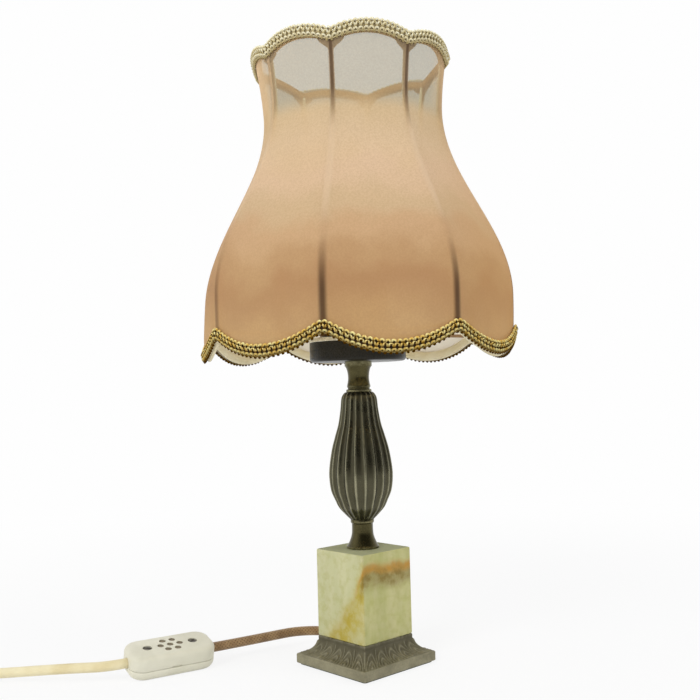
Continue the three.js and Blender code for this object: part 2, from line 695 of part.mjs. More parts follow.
// Fitter ring on the holder's flange, and its arms to every second rib
function makeFitter() {
  const z0 = Z_FITTER - FITTER_THICK / 2;
  const z1 = Z_FITTER + FITTER_THICK / 2;
  const bore = SHELL_RADIUS + GAP;
  place('fitter_ring', turnedRing([[bore, z0], [FITTER_RADIUS, z0], [FITTER_RADIUS, z1], [bore, z1]], 24), brass);
  for (let k = 0; k < ARMS; k += 1) {
    place(`fitter_arm_${k + 1}`, fitterArm(k, WIRE_RADIUS), brass);
  }
}

function fitterArm(k, radius) {
  const a = THREE.MathUtils.degToRad(RIB_TURN) + (2 * Math.PI * k) / ARMS;
  const r0 = FITTER_RADIUS + GAP / 2;
  const r1 = coverRadius(a, RIM_WIRE_SET) + WIRE_OFFSET - WIRE_RADIUS - GAP / 2;
  const at = (r) => new THREE.Vector3(r * Math.cos(a), r * Math.sin(a), Z_FITTER);
  return tube(new THREE.LineCurve3(at(r0), at(r1)), radius, 1, 8);
}

// Cream tape inside both rims, notched where the arms pass
function makeBindings() {
  const outer = WIRE_OFFSET - WIRE_RADIUS - GAP;
  const inner = outer - BINDING_THICK;
  const notches = Array.from({ length: ARMS }, (_, k) => fitterArm(k, WIRE_RADIUS + GAP));
  const low = rimBand(bottomEdge, 0, BINDING_HEIGHT, inner, outer);
  place('bottom_binding', cut(low, ...notches), cream);
  place('top_binding', rimBand(topEdge, -BINDING_HEIGHT, 0, inner, outer), cream);
}

// Rubber bush through the plinth's back wall, drawn out in a taper that saves the cord from a sharp bend
function makeBush() {
  const y0 = POCKET_HALF - 1;
  const y1 = BUSH_END - BUSH_TAPER;
  const bore = CORD_RADIUS + GAP;
  const out = bore + BUSH_WALL;
  const tip = bore + BUSH_TIP_WALL;
  const g = turnedRing([[bore, y0], [out, y0], [out, y1], [tip, BUSH_END - 0.6], [tip - 0.3, BUSH_END],
    [bore, BUSH_END]], 16);
  place('cord_bush', g.rotateX(-Math.PI / 2).translate(CORD_EXIT_X, 0, CORD_EXIT_HEIGHT), brownCord);
}

// Lead wires from the cord's end, under the nut, up the tube and out to the core's terminals
function makeLead(name, side, material) {
  const x = side * LEAD_SPREAD;
  const far = CORD_EXIT_X + x;
  const yEnd = CORD_END - GAP;
  const yNut = NUT_FLAT + LEAD_RADIUS + GAP;
  const low = Z_NUT - TUBE_END;
  const top = Z_DISH_FLOOR + TUBE_RADIUS;
  const core = Z_HOLDER_TOP - GAP;
  const points = [
    [far, yEnd, CORD_EXIT_HEIGHT], [far, yEnd - 1, CORD_EXIT_HEIGHT - 0.1],
    [x + 0.8 * CORD_EXIT_X, yNut + 0.6, CORD_EXIT_HEIGHT - 2], [x + 0.55 * CORD_EXIT_X, yNut, low + 0.6],
    [x + 0.3 * CORD_EXIT_X, yNut - 2, low - 1.8], [x, 3, low - 2.6], [x, 0.6, low - 1.2], [x, 0, low + 2],
    [x, 0, top * 0.4], [x, 0, top * 0.7], [x, 0, top - 5], [x, 0, top], [x + side * 2, 0, top + 4.2],
    [side * TERMINAL_SPREAD, 0, core - 3], [side * TERMINAL_SPREAD, 0, core],
  ].map(([px, py, pz]) => new THREE.Vector3(px, py, pz));
  place(name, tube(through(points), LEAD_RADIUS, 34, 5), material);
}

// Direction over the table, in degrees from +X
function headingOf(degrees) {
  const a = THREE.MathUtils.degToRad(degrees);
  return new THREE.Vector3(Math.cos(a), Math.sin(a), 0);
}

// A point on the cord's line through the switch, in plan: x along it, towards the lamp
function inSwitch(x) {
  return SWITCH_PLACE.clone().addScaledVector(headingOf(SWITCH_ANGLE), x);
}

// A cord's line from a place and a heading: each run has a length and the angle it turns through, left positive
function planRoute(from, heading, runs, level) {
  const total = runs.reduce((sum, [length]) => sum + length, 0);
  const points = [];
  let { x, y } = from;
  let way = THREE.MathUtils.degToRad(heading);
  let done = 0;
  points.push(new THREE.Vector3(x, y, level(0, total)));
  for (const [length, turn] of runs) {
    const steps = Math.max(1, Math.round(length / 3));
    const bend = THREE.MathUtils.degToRad(turn) / steps;
    for (let i = 0; i < steps; i += 1) {
      x += (length / steps) * Math.cos(way + bend / 2);
      y += (length / steps) * Math.sin(way + bend / 2);
      way += bend;
      done += length / steps;
      points.push(new THREE.Vector3(x, y, level(done, total)));
    }
  }
  return points;
}

// Length of an arc of a cord's bend
const bendLength = (radius, degrees) => radius * THREE.MathUtils.degToRad(degrees);

// Cord from the bush to the switch: straight out, one wide turn, then straight on. The switch carries its end
function makeLampCord() {
  const { smoothstep } = THREE.MathUtils;
  const out = BUSH_END + 1 - CORD_END;
  const last = SWITCH_REACH - SWITCH_LENGTH / 2 + CORD_IN_SWITCH;
  const runs = [[out, 0], [bendLength(CORD_BEND, LAMP_TURN), LAMP_TURN], [last, 0]];
  const level = (done, total) => CORD_EXIT_HEIGHT
    + smoothstep(done, out, total - CORD_IN_SWITCH - 3) * (CORD_HIGH - CORD_EXIT_HEIGHT);
  const points = planRoute(new THREE.Vector2(CORD_EXIT_X, CORD_END), 90, runs, level);
  const route = through(points);
  tellBend('lamp side', route);
  place('cord_lamp_side', tube(route, CORD_RADIUS, 36, 10), brownCord);
}

// Length and tightest bend of a cord's line
function tellBend(name, route) {
  const points = route.getSpacedPoints(200);
  const step = route.getLength() / 200;
  let least = Infinity;
  for (let i = 2; i < points.length - 2; i += 1) {
    const before = points[i].clone().sub(points[i - 2]);
    const after = points[i + 2].clone().sub(points[i]);
    least = Math.min(least, (2 * step) / Math.max(1e-6, before.angleTo(after)));
  }
  console.log(`${name}: ${Math.round(route.getLength())} mm long, tightest bend ${least.toFixed(1)} mm`);
}

// Line of the cord from the switch towards the wall, down to the table and up to the coil's height
function wallPoints() {
  const { smoothstep } = THREE.MathUtils;
  const lie = CORD_RADIUS + GAP;
  const level = (done, total) => {
    const fall = smoothstep(done, CORD_IN_SWITCH + 3, total - 50) * (CORD_HIGH - lie);
    return CORD_HIGH - fall + smoothstep(done, total - 45, total - 6) * (COIL_LIFT + CORD_RADIUS - lie);
  };
  const runs = [[CORD_IN_SWITCH + 3, 0], [bendLength(CORD_BEND, WALL_TURN), -WALL_TURN], [WALL_RUN, 0]];
  return planRoute(inSwitch(CORD_IN_SWITCH - SWITCH_LENGTH / 2), 180 + SWITCH_ANGLE, runs, level);
}

// Direction in which the cord runs into the coil, where the coil's tube starts, and the coil's middle
function coilEntry() {
  const points = wallPoints();
  const end = points[points.length - 1];
  const heading = THREE.MathUtils.degToRad(180 + SWITCH_ANGLE - WALL_TURN);
  const along = new THREE.Vector3(Math.cos(heading), Math.sin(heading), 0);
  const start = end.clone().addScaledVector(along, GAP);
  const touch = start.clone().addScaledVector(along, 2 * CORD_RADIUS);
  const centre = new THREE.Vector2(touch.x - COIL_OUTER * along.y, touch.y + COIL_OUTER * along.x);
  return { along, start, centre, first: heading - Math.PI / 2 };
}

// Cord from the switch to the coil
function makeWallCord() {
  const route = through(wallPoints());
  tellBend('wall side', route);
  place('cord_wall_side', tube(route, CORD_RADIUS, 34, 10), creamCord);
}

// The coil's path: straight in, spiral in on the table, climb in half a turn, spiral out, straight tail
class CoilCurve extends THREE.Curve {
  constructor() {
    super();
    this.points = CoilCurve.sample();
    this.arcLengthDivisions = 4000;
  }

  static sample() {
    const out = [];
    const { along, start, centre, first } = coilEntry();
    const low = COIL_LIFT + CORD_RADIUS;
    const inner = COIL_OUTER - COIL_PITCH * (COIL_TURNS_IN + 0.25);
    const straight = 6;
    for (let i = 0; i < straight; i += 1) {
      out.push(start.clone().addScaledVector(along, (2 * CORD_RADIUS * i) / straight));
    }
    const perTurn = 48;
    const turns = COIL_TURNS_IN + 0.5 + COIL_TURNS_OUT;
    const count = Math.round(turns * perTurn);
    for (let i = 0; i <= count; i += 1) {
      const t = (i / count) * turns;
      const climb = THREE.MathUtils.clamp((t - COIL_TURNS_IN) / 0.5, 0, 1);
      const lift = COIL_LAYER * THREE.MathUtils.smoothstep(climb, 0, 1);
      const r = inner + COIL_PITCH * Math.abs(t - COIL_TURNS_IN - 0.25);
      const a = first + 2 * Math.PI * t;
      out.push(new THREE.Vector3(centre.x + r * Math.cos(a), centre.y + r * Math.sin(a), low + lift));
    }
    return CoilCurve.addTail(out);
  }

  static addTail(out) {
    const from = out[out.length - 1].clone();
    const way = from.clone().sub(out[out.length - 2]).setZ(0).normalize();
    const drop = from.z - (PLUG_LIFT + PLUG_THICK / 2);
    const steps = 16;
    for (let i = 1; i <= steps; i += 1) {
      const s = (COIL_TAIL * i) / steps;
      const fall = THREE.MathUtils.smoothstep(s, 0.28 * COIL_TAIL, COIL_TAIL - PLUG_RELIEF - CORD_RADIUS);
      out.push(from.clone().addScaledVector(way, s).setZ(from.z - drop * fall));
    }
    return out;
  }

  getPoint(t, target = new THREE.Vector3()) {
    const f = THREE.MathUtils.clamp(t, 0, 1) * (this.points.length - 1);
    const i = Math.min(Math.floor(f), this.points.length - 2);
    return target.lerpVectors(this.points[i], this.points[i + 1], f - i);
  }
}

// Least distance between parts of the coil that are well apart along it, less the cord itself
function coilGap(curve) {
  const points = curve.getSpacedPoints(900);
  const step = curve.getLength() / 900;
  const skip = Math.ceil((6 * CORD_RADIUS) / step);
  let least = Infinity;
  for (let i = 0; i < points.length; i += 1) {
    for (let j = i + skip; j < points.length; j += 1) {
      least = Math.min(least, points[i].distanceTo(points[j]));
    }
  }
  return least - 2 * CORD_RADIUS;
}

function makeCoil() {
  const curve = new CoilCurve();
  console.log(`coil: ${Math.round(curve.getLength())} mm long, least gap ${coilGap(curve).toFixed(2)} mm`);
  const turns = COIL_TURNS_IN + 0.5 + COIL_TURNS_OUT;
  const steps = Math.round(24 * (turns + 0.25));
  place('cord_coil', tube(curve, CORD_RADIUS, steps, 6), creamCord);
  makeTie(curve);
  makePlug(curve);
}

// Strap round the coil's turns at one side
function makeTie(curve) {
  const a = THREE.MathUtils.degToRad(TIE_ANGLE);
  const dir = new THREE.Vector2(Math.cos(a), Math.sin(a));
  const { centre } = coilEntry();
  const radii = curve.points.filter((p) => {
    const d = new THREE.Vector2(p.x - centre.x, p.y - centre.y);
    return d.length() < COIL_OUTER + 1 && Math.abs(d.x * dir.y - d.y * dir.x) < TIE_WIDTH && d.dot(dir) > 0;
  }).map((p) => Math.hypot(p.x - centre.x, p.y - centre.y));
  const x0 = Math.min(...radii) - CORD_RADIUS - 2 * GAP;
  const x1 = Math.max(...radii) + CORD_RADIUS + 2 * GAP;
  const z0 = COIL_LIFT - GAP;
  const z1 = COIL_LIFT + COIL_LAYER + 2 * CORD_RADIUS + GAP;
  const half = TIE_WIDTH / 2;
  const t = TIE_THICK;
  const strap = cut(box(x0 - t, x1 + t, -half, half, z0 - t, z1 + t), box(x0, x1, -half - 1, half + 1, z0, z1));
  const turnedStrap = strap.rotateZ(a).translate(centre.x, centre.y, 0);
  place('coil_tie', turnedStrap, black);
}

// Flat two-pin plug at the end of the tail
function makePlug(curve) {
  const end = curve.points[curve.points.length - 1];
  const before = curve.points[curve.points.length - 2];
  const holder = new THREE.Group();
  holder.position.set(end.x, end.y, PLUG_LIFT + PLUG_THICK / 2);
  holder.rotation.z = Math.atan2(end.y - before.y, end.x - before.x);
  lamp.add(holder);
  const rear = PLUG_REAR / 2;
  const front = PLUG_FRONT / 2;
  const half = PLUG_THICK / 2;
  const section = (x, w, h) => [[-w, -h], [w, -h], [w, h], [-w, h]].map(([y, z]) => new THREE.Vector3(x, y, z));
  const rings = [section(GAP, rear, half * 0.7), section(PLUG_LENGTH * 0.35, rear + 1, half * 0.75),
    section(PLUG_LENGTH * 0.7, front, half), section(PLUG_LENGTH, front, half)];
  place('plug_body', skin(rings, false), creamCord, holder);
  const bore = CORD_RADIUS + GAP;
  const relief = turnedRing([[bore, -PLUG_RELIEF], [bore + BUSH_TIP_WALL, -PLUG_RELIEF],
    [0.65 * half + 0.2, 0], [bore, 0]], 14);
  place('plug_relief', relief.rotateY(Math.PI / 2), creamCord, holder);
  for (const [i, side] of [-1, 1].entries()) {
    const pin = rod(PLUG_PIN_RADIUS, PLUG_LENGTH + GAP, PLUG_LENGTH + PLUG_PIN_LENGTH, 12);
    pin.rotateY(Math.PI / 2).translate(0, (side * PLUG_PIN_SPACING) / 2, 0);
    place(`plug_pin_${i + 1}`, pin, brass, holder);
  }
}

// Outline of the switch, set in by a margin
function switchRing(inset, z) {
  const x = SWITCH_LENGTH / 2 - inset;
  const y = SWITCH_WIDTH / 2 - inset;
  const c = Math.max(1, SWITCH_CORNER - 0.6 * inset);
  const outline = [];
  for (const [sx, sy, start] of [[1, 1, 0], [-1, 1, 90], [-1, -1, 180], [1, -1, 270]]) {
    for (const turn of [0, 30, 60, 90]) {
      const way = headingOf(start + turn);
      outline.push(new THREE.Vector3(sx * (x - c) + c * way.x, sy * (y - c) + c * way.y, z));
    }
  }
  return outline;
}

// Rings of a rounded edge, from the flat face to the upright side: out is +1 for a top face, -1 for a bottom one
function roundedEdge(radius, face, out) {
  return [0, 30, 60, 90].map((turn) => {
    const way = headingOf(turn);
    return switchRing(radius * (1 - way.y), face - out * radius * (1 - way.x));
  });
}

const switchGroup = new THREE.Group();
// The switch rolls about the cord's line, which stays where it was
switchGroup.position.copy(SWITCH_PLACE).setZ(SWITCH_LIFT)
  .addScaledVector(headingOf(90 + SWITCH_ANGLE), CORD_LEVEL * Math.sin(ROLL));
switchGroup.rotation.set(ROLL, 0, THREE.MathUtils.degToRad(SWITCH_ANGLE), 'ZYX');
lamp.add(switchGroup);

// Round way for the cord through both ends of the switch, partly in each shell
function cordWay() {
  const way = rod(CORD_RADIUS + GAP, -SWITCH_LENGTH / 2 - 1, SWITCH_LENGTH / 2 + 1, 12);
  return way.rotateY(Math.PI / 2).translate(0, 0, CORD_LEVEL);
}

// Lower shell: open cup with the rocker's window, two screw posts and two bosses for the pin
function makeLowerShell() {
  const outer = skin([...roundedEdge(SWITCH_HULL, 0, -1), switchRing(0, LOWER_HEIGHT)], false);
  const under = switchRing(SWITCH_WALL + SWITCH_HULL / 4, SWITCH_WALL);
  const hollow = skin([under, switchRing(SWITCH_WALL, SWITCH_HULL), switchRing(SWITCH_WALL, LOWER_HEIGHT + 1)], false);
  const wx = ROCKER_LENGTH / 2 + ROCKER_CLEAR;
  const wy = ROCKER_WIDTH / 2 + ROCKER_CLEAR;
  const cup = cut(outer, hollow, cordWay(), box(-wx, wx, -wy, wy, -1, SWITCH_WALL + 1));
  const floor = SWITCH_WALL - 0.2;
  const posts = [-1, 1].map((s) => rod(POST_RADIUS, floor, SWITCH_HEIGHT - ROOF_THICK - GAP, 12)
    .translate((s * SCREW_SPACING) / 2, 0, 0));
  const bossTop = PIN_HEIGHT + PIN_RADIUS + 1;
  const bosses = [-1, 1].map((s) => {
    const near = wy + GAP;
    const far = near + BOSS_THICK;
    return box(-2.4, 2.4, Math.min(s * near, s * far), Math.max(s * near, s * far), floor, bossTop);
  });
  const tip = SWITCH_HEIGHT - SCREW_SINK - SCREW_LENGTH;
  const holes = [-1, 1].map((s) => rod(SCREW_SHANK + FIT, tip - GAP, SWITCH_HEIGHT, 10)
    .translate((s * SCREW_SPACING) / 2, 0, 0));
  const pinHole = rod(PIN_RADIUS + FIT / 2, -wy - GAP - BOSS_THICK - 1, wy + GAP + BOSS_THICK + 1, 10);
  pinHole.rotateX(Math.PI / 2).translate(0, 0, PIN_HEIGHT);
  place('switch_lower_shell', cut(join(cup, ...posts, ...bosses), ...holes, pinHole), ivory, switchGroup);
}

// Upper shell: lid with sunk screw holes and a rosette of round recesses
function makeUpperShell() {
  const z0 = LOWER_HEIGHT + GAP;
  const z1 = SWITCH_HEIGHT;
  const outer = skin([switchRing(0, z0), ...roundedEdge(SWITCH_ROUND, z1, 1).reverse()], false);
  const hollow = skin([switchRing(SWITCH_WALL, z0 - 1), switchRing(SWITCH_WALL, z1 - ROOF_THICK)], false);
  const tools = [hollow, cordWay()];
  for (const s of [-1, 1]) {
    const x = (s * SCREW_SPACING) / 2;
    tools.push(rod(SCREW_SHANK + FIT, z1 - ROOF_THICK - 1, z1 + 1, 10).translate(x, 0, 0));
    tools.push(rod(SCREW_HEAD + GAP, z1 - SCREW_SINK, z1 + 1, 12).translate(x, 0, 0));
  }
  for (let i = 0; i < 7; i += 1) {
    const a = (Math.PI * i) / 3;
    const r = i === 6 ? 0 : ROSETTE_RADIUS;
    const hole = rod(ROSETTE_HOLE, z1 - ROSETTE_DEPTH, z1 + 1, 10);
    tools.push(hole.translate(r * Math.cos(a), r * Math.sin(a), 0));
  }
  place('switch_upper_shell', cut(outer, ...tools), ivory, switchGroup);
}

// Screws, rocker with its pin, and terminals
function makeSwitchInside() {
  const seat = SWITCH_HEIGHT - SCREW_SINK;
  for (const [i, s] of [-1, 1].entries()) {
    const profile = [[0, seat - SCREW_LENGTH], [SCREW_SHANK, seat - SCREW_LENGTH], [SCREW_SHANK, seat],
      [SCREW_HEAD, seat], [SCREW_HEAD, seat + SCREW_HEAD_THICK - 0.4], [SCREW_HEAD - 0.4, seat + SCREW_HEAD_THICK],
      [0, seat + SCREW_HEAD_THICK]];
    const slot = box(-SCREW_HEAD, SCREW_HEAD, -0.4, 0.4, seat + SCREW_HEAD_THICK - 0.5, seat + 2);
    const screw = cut(turned(profile, 12), slot.rotateZ(0.6 * s));
    place(`switch_screw_${i + 1}`, screw.translate((s * SCREW_SPACING) / 2, 0, GAP / 10), steel, switchGroup);
    const x = s * (SCREW_SPACING / 2);
    const y0 = POST_RADIUS + 2.5;
    const z0 = SWITCH_WALL + GAP;
    const block = box(x - TERMINAL_LENGTH / 2, x + TERMINAL_LENGTH / 2, y0, y0 + TERMINAL_WIDTH, z0,
      z0 + TERMINAL_HEIGHT);
    place(`switch_terminal_${i + 1}`, block, brass, switchGroup);
  }
}

// Rocker in the underside, resting on one stop, and the pin it turns on
function makeRocker() {
  const x = ROCKER_LENGTH / 2;
  const y = ROCKER_WIDTH / 2;
  const low = ROCKER_RECESS - PIN_HEIGHT;
  const block = box(-x, x, -y, y, low, low + ROCKER_HEIGHT);
  const bore = rod(PIN_RADIUS + 0.08, -y - 1, y + 1, 10).rotateX(Math.PI / 2);
  const rocker = place('switch_rocker', cut(block, bore), black, switchGroup);
  rocker.position.z = PIN_HEIGHT;
  rocker.rotation.y = THREE.MathUtils.degToRad(-ROCKER_TILT);
  const run = y + ROCKER_CLEAR + GAP + BOSS_THICK;
  const pin = rod(PIN_RADIUS, -run, run, 10).rotateX(Math.PI / 2).translate(0, 0, PIN_HEIGHT);
  place('rocker_pin', pin, steel, switchGroup);
}

makeFelt();
makePlinth();
makeOnyx();
makeTube();
makeFoot();
makeBody();
makeNeck();
makeDish();
makeHolder();
makeShadeRing();
makeBulb();
makeFitter();
makeRims();
for (let k = 0; k < RIBS; k += 1) makeRib(k);
makeCover();
makeBraids();
makeBindings();
makeBush();
makeLead('lead_wire_live', 1, brownCord);
makeLead('lead_wire_neutral', -1, creamCord);
makeLampCord();
makeLowerShell();
makeUpperShell();
makeSwitchInside();
makeRocker();
makeWallCord();
makeCoil();

export default lamp;
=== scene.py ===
# %% [markdown]
# # A bedside lamp, dressed for the camera
# The real lamp is a cast plinth, a block of onyx and a fluted metal stem under a stretched cloth shade.
# Its solids come packed from the CAD model and stay where they are. This lesson gives each of them its
# surface, and puts a finer piece in the place of a solid wherever the real one is soft, carved, turned or
# woven.

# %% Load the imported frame
import json
import math

import bmesh
import bpy
from mathutils import Matrix, Vector, noise

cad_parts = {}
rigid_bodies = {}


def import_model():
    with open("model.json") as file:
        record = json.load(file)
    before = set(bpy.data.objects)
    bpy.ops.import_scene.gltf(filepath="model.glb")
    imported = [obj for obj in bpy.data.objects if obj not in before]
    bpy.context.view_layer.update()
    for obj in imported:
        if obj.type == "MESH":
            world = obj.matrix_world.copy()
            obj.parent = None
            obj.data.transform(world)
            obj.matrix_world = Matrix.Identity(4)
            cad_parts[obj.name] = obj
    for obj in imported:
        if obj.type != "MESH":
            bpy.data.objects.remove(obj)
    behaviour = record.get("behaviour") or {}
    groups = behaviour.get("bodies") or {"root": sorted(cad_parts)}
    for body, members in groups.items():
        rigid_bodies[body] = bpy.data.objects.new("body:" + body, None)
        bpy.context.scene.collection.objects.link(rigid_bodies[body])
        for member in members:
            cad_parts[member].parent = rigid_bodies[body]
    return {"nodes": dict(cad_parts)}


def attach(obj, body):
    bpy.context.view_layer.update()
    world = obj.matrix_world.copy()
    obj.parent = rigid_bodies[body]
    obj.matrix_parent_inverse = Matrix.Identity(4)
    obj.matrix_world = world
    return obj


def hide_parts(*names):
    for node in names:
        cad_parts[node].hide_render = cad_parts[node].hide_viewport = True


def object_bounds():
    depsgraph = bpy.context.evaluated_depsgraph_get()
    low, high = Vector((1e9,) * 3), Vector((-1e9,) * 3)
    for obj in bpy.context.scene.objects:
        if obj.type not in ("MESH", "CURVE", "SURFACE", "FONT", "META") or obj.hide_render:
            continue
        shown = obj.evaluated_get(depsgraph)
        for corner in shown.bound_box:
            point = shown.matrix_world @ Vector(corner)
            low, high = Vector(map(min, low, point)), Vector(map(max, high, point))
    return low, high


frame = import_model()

MM = 0.001
TAU = 2 * math.pi
cad_box = [list(corner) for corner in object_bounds()]
print("frame:", len(frame["nodes"]), "solids, box", [[round(x, 3) for x in corner] for corner in cad_box])

# %% [markdown]
# ## The camera
# The photograph was taken from a little above the plinth, with the corner of the base towards the lens. A
# camera can be dragged into place by eye, but the corners of the plinth and the onyx give its place and
# lens by calculation, so the numbers are written down here: 920 pixels of focal length on a frame 700
# pixels wide.

# %% Camera
CAMERA_AT = Vector((-405.11, -424.6, 171.2))
CAMERA_TURN, CAMERA_PITCH, CAMERA_ROLL = (math.radians(a) for a in (-43.17, -2.538, 1.504))
FOCAL_PIXELS, FRAME_PIXELS, SENSOR_WIDE = 920, 700, 36


def lamp_camera():
    right = Vector((math.cos(CAMERA_TURN), math.sin(CAMERA_TURN), 0))
    level = Vector((-math.sin(CAMERA_TURN), math.cos(CAMERA_TURN), 0))
    rise = Vector((0, 0, 1))
    ahead = math.cos(CAMERA_PITCH) * level - math.sin(CAMERA_PITCH) * rise
    up = math.sin(CAMERA_PITCH) * level + math.cos(CAMERA_PITCH) * rise
    side = math.cos(CAMERA_ROLL) * right - math.sin(CAMERA_ROLL) * up
    top = math.sin(CAMERA_ROLL) * right + math.cos(CAMERA_ROLL) * up
    data = bpy.data.cameras.new("lamp_view")
    data.sensor_width = SENSOR_WIDE
    data.lens = SENSOR_WIDE * FOCAL_PIXELS / FRAME_PIXELS
    data.clip_start, data.clip_end = 0.02, 40
    camera = bpy.data.objects.new("lamp_view", data)
    facing = Matrix((side, top, -ahead)).transposed().to_4x4()
    camera.matrix_world = Matrix.Translation(CAMERA_AT * MM) @ facing
    bpy.context.scene.collection.objects.link(camera)
    bpy.context.scene.camera = camera
    return camera


print("camera lens", round(lamp_camera().data.lens, 2), "mm")

# %% [markdown]
# ## Helpers for making pieces
# Nearly every piece here is a skin over rings of points: a turned stem, a cord, a square plinth, a cloth
# cover. One function makes the faces between the rings and writes a UV map from the two directions, so a
# weave can follow the cloth and a twist can follow a cord. The Screw and Curve tools could do parts
# of this, but rings in code keep one way of working for all of them.

# %% Make a piece
def make_piece(name, points, faces, finish, body, stands_for=(), slot=None, corners=None, outward=True):
    mesh = bpy.data.meshes.new(name)
    mesh.from_pydata([tuple(p) for p in points], [], faces)
    if corners:
        layer = mesh.uv_layers.new(name="UVMap")
        layer.data.foreach_set("uv", [c for pair in corners for c in pair])
    if outward:
        shell = bmesh.new()
        shell.from_mesh(mesh)
        bmesh.ops.recalc_face_normals(shell, faces=shell.faces)
        shell.to_mesh(mesh)
        shell.free()
    mesh.polygons.foreach_set("use_smooth", [True] * len(mesh.polygons))
    piece = bpy.data.objects.new(name, mesh)
    bpy.context.scene.collection.objects.link(piece)
    mesh.materials.append(finish)
    return settle(piece, body, stands_for, slot)


def settle(piece, body, stands_for=(), slot=None):
    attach(piece, body)
    if stands_for:
        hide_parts(*stands_for)
    return piece


print("piece helpers ready")

# %% Skin over rings
def skin(rings, along=False, caps=False, u=None, v=None):
    rows, columns = len(rings), len(rings[0])
    u = u or [i / columns for i in range(columns + 1)]
    v = v or [j / max(1, rows - 1) for j in range(rows + 1)]
    points = [p for ring in rings for p in ring]
    faces, corners = [], []
    for j in range(rows if along else rows - 1):
        for i in range(columns):
            k, m = (i + 1) % columns, (j + 1) % rows
            faces.append((j * columns + i, j * columns + k, m * columns + k, m * columns + i))
            corners += [(u[i], v[j]), (u[i + 1], v[j]), (u[i + 1], v[j + 1]), (u[i], v[j + 1])]
    if caps:
        last = (rows - 1) * columns
        faces.append(tuple(reversed(range(columns))))
        faces.append(tuple(range(last, last + columns)))
        corners += [(0.5, v[0])] * columns + [(0.5, v[rows - 1])] * columns
    return points, faces, corners


def together(*parts):
    points, faces, corners = [], [], []
    for p, f, c in parts:
        faces += [tuple(i + len(points) for i in face) for face in f]
        points += p
        corners += c
    return points, faces, corners


print("skin helpers ready")

# %% [markdown]
# A line of a few measured points becomes a smooth outline when a curve runs through all of them. The same
# curve serves the profile of a turned part and the path of a wire. A tube along a path needs rings that
# don't twist, so each ring's frame is carried over from the one before it.

# %% Smooth lines and turned parts
def smooth_line(points, count):
    points = [Vector(p) for p in points]
    ends = [2 * points[0] - points[1], *points, 2 * points[-1] - points[-2]]
    out = []
    for n in range(count + 1):
        t = n / count * (len(points) - 1)
        k = min(int(t), len(points) - 2)
        t -= k
        a, b, c, d = ends[k:k + 4]
        out.append(0.5 * (2 * b + (c - a) * t + (2 * a - 5 * b + 4 * c - d) * t * t
                          + (3 * b - a - 3 * c + d) * t ** 3))
    return out


def turned(profile, sides=72, radius=None):
    rings = []
    for row, (r, z) in enumerate(profile):
        angles = [TAU * i / sides for i in range(sides)]
        reach = [radius(a, row, r) if radius else r for a in angles]
        rings.append([Vector((q * math.cos(a), q * math.sin(a), z)) * MM for a, q in zip(angles, reach)])
    return rings


print("turning helpers ready")

# %% Tubes along a path
def tube_rings(path, radius, sides=8, closed=False):
    n = len(path)
    ahead = [(path[(i + 1) % n] - path[i - 1]) if closed or 0 < i < n - 1 else
             (path[1] - path[0] if i == 0 else path[-1] - path[-2]) for i in range(n)]
    ahead = [a.normalized() for a in ahead]
    side = ahead[0].orthogonal().normalized()
    sides_on = [side]
    for i in range(1, n):
        side = ahead[i - 1].rotation_difference(ahead[i]) @ side
        side = (side - side.dot(ahead[i]) * ahead[i]).normalized()
        sides_on.append(side)
    slip = 0.0
    if closed:
        back = ahead[-1].rotation_difference(ahead[0]) @ sides_on[-1]
        slip = math.atan2(back.cross(sides_on[0]).dot(ahead[0]), back.dot(sides_on[0]))
    rings = []
    for i, (p, a, s) in enumerate(zip(path, ahead, sides_on)):
        s = Matrix.Rotation(slip * i / n, 3, a) @ s
        t = a.cross(s)
        rings.append([p + radius * (math.cos(TAU * k / sides) * s + math.sin(TAU * k / sides) * t)
                      for k in range(sides)])
    return rings


def run_length(path):
    total, out = 0.0, [0.0]
    for a, b in zip(path, path[1:]):
        total += (b - a).length
        out.append(total)
    return out


def tube(path, radius, sides=8, closed=False):
    lengths = run_length(path + path[:1] if closed else path)
    return skin(tube_rings(path, radius, sides, closed), along=closed, caps=not closed,
                v=[d / MM for d in lengths] + [lengths[-1] / MM])


print("tube helpers ready")

# %% [markdown]
# ## Helpers for finishes
# Each finish is a Principled BSDF whose colour, roughness and bump come from nodes. Small functions place
# the nodes, so that a recipe reads in the order in which the real surface was made: base colour,
# cloudiness, wear, grain.

# %% Node helpers
def add(tree, kind, **settings):
    made = tree.nodes.new(kind)
    for key, value in settings.items():
        setattr(made, key, value)
    return made


def put_in(tree, socket, value):
    """Links another node's output to a socket, or sets a plain value on it."""
    if isinstance(value, bpy.types.NodeSocket):
        tree.links.new(value, socket)
    elif value is not None:
        socket.default_value = value


def feed(tree, made, **inputs):
    for name, value in inputs.items():
        put_in(tree, made.inputs[name.replace("_", " ")], value)
    return made


def calc(tree, operation, a, b=None, clamp=False):
    made = add(tree, "ShaderNodeMath", operation=operation, use_clamp=clamp)
    put_in(tree, made.inputs[0], a)
    put_in(tree, made.inputs[1], b)
    return made.outputs[0]


def times(tree, a, b):
    return calc(tree, "MULTIPLY", a, b)


def plus(tree, a, b):
    return calc(tree, "ADD", a, b)


def minus(tree, a, b, clamp=False):
    return calc(tree, "SUBTRACT", a, b, clamp)


print("node helpers ready")

# %% Blends, ranges and colours
def blend(tree, share, a, b):
    made = add(tree, "ShaderNodeMix", data_type="RGBA")
    for place, value in ((0, share), (6, a), (7, b)):
        put_in(tree, made.inputs[place], (*value, 1) if isinstance(value, tuple) else value)
    return made.outputs[2]


def span(tree, value, low, high, to_low=0.0, to_high=1.0):
    made = add(tree, "ShaderNodeMapRange", interpolation_type="SMOOTHSTEP")
    feed(tree, made, Value=value, From_Min=low, From_Max=high, To_Min=to_low, To_Max=to_high)
    return made.outputs[0]


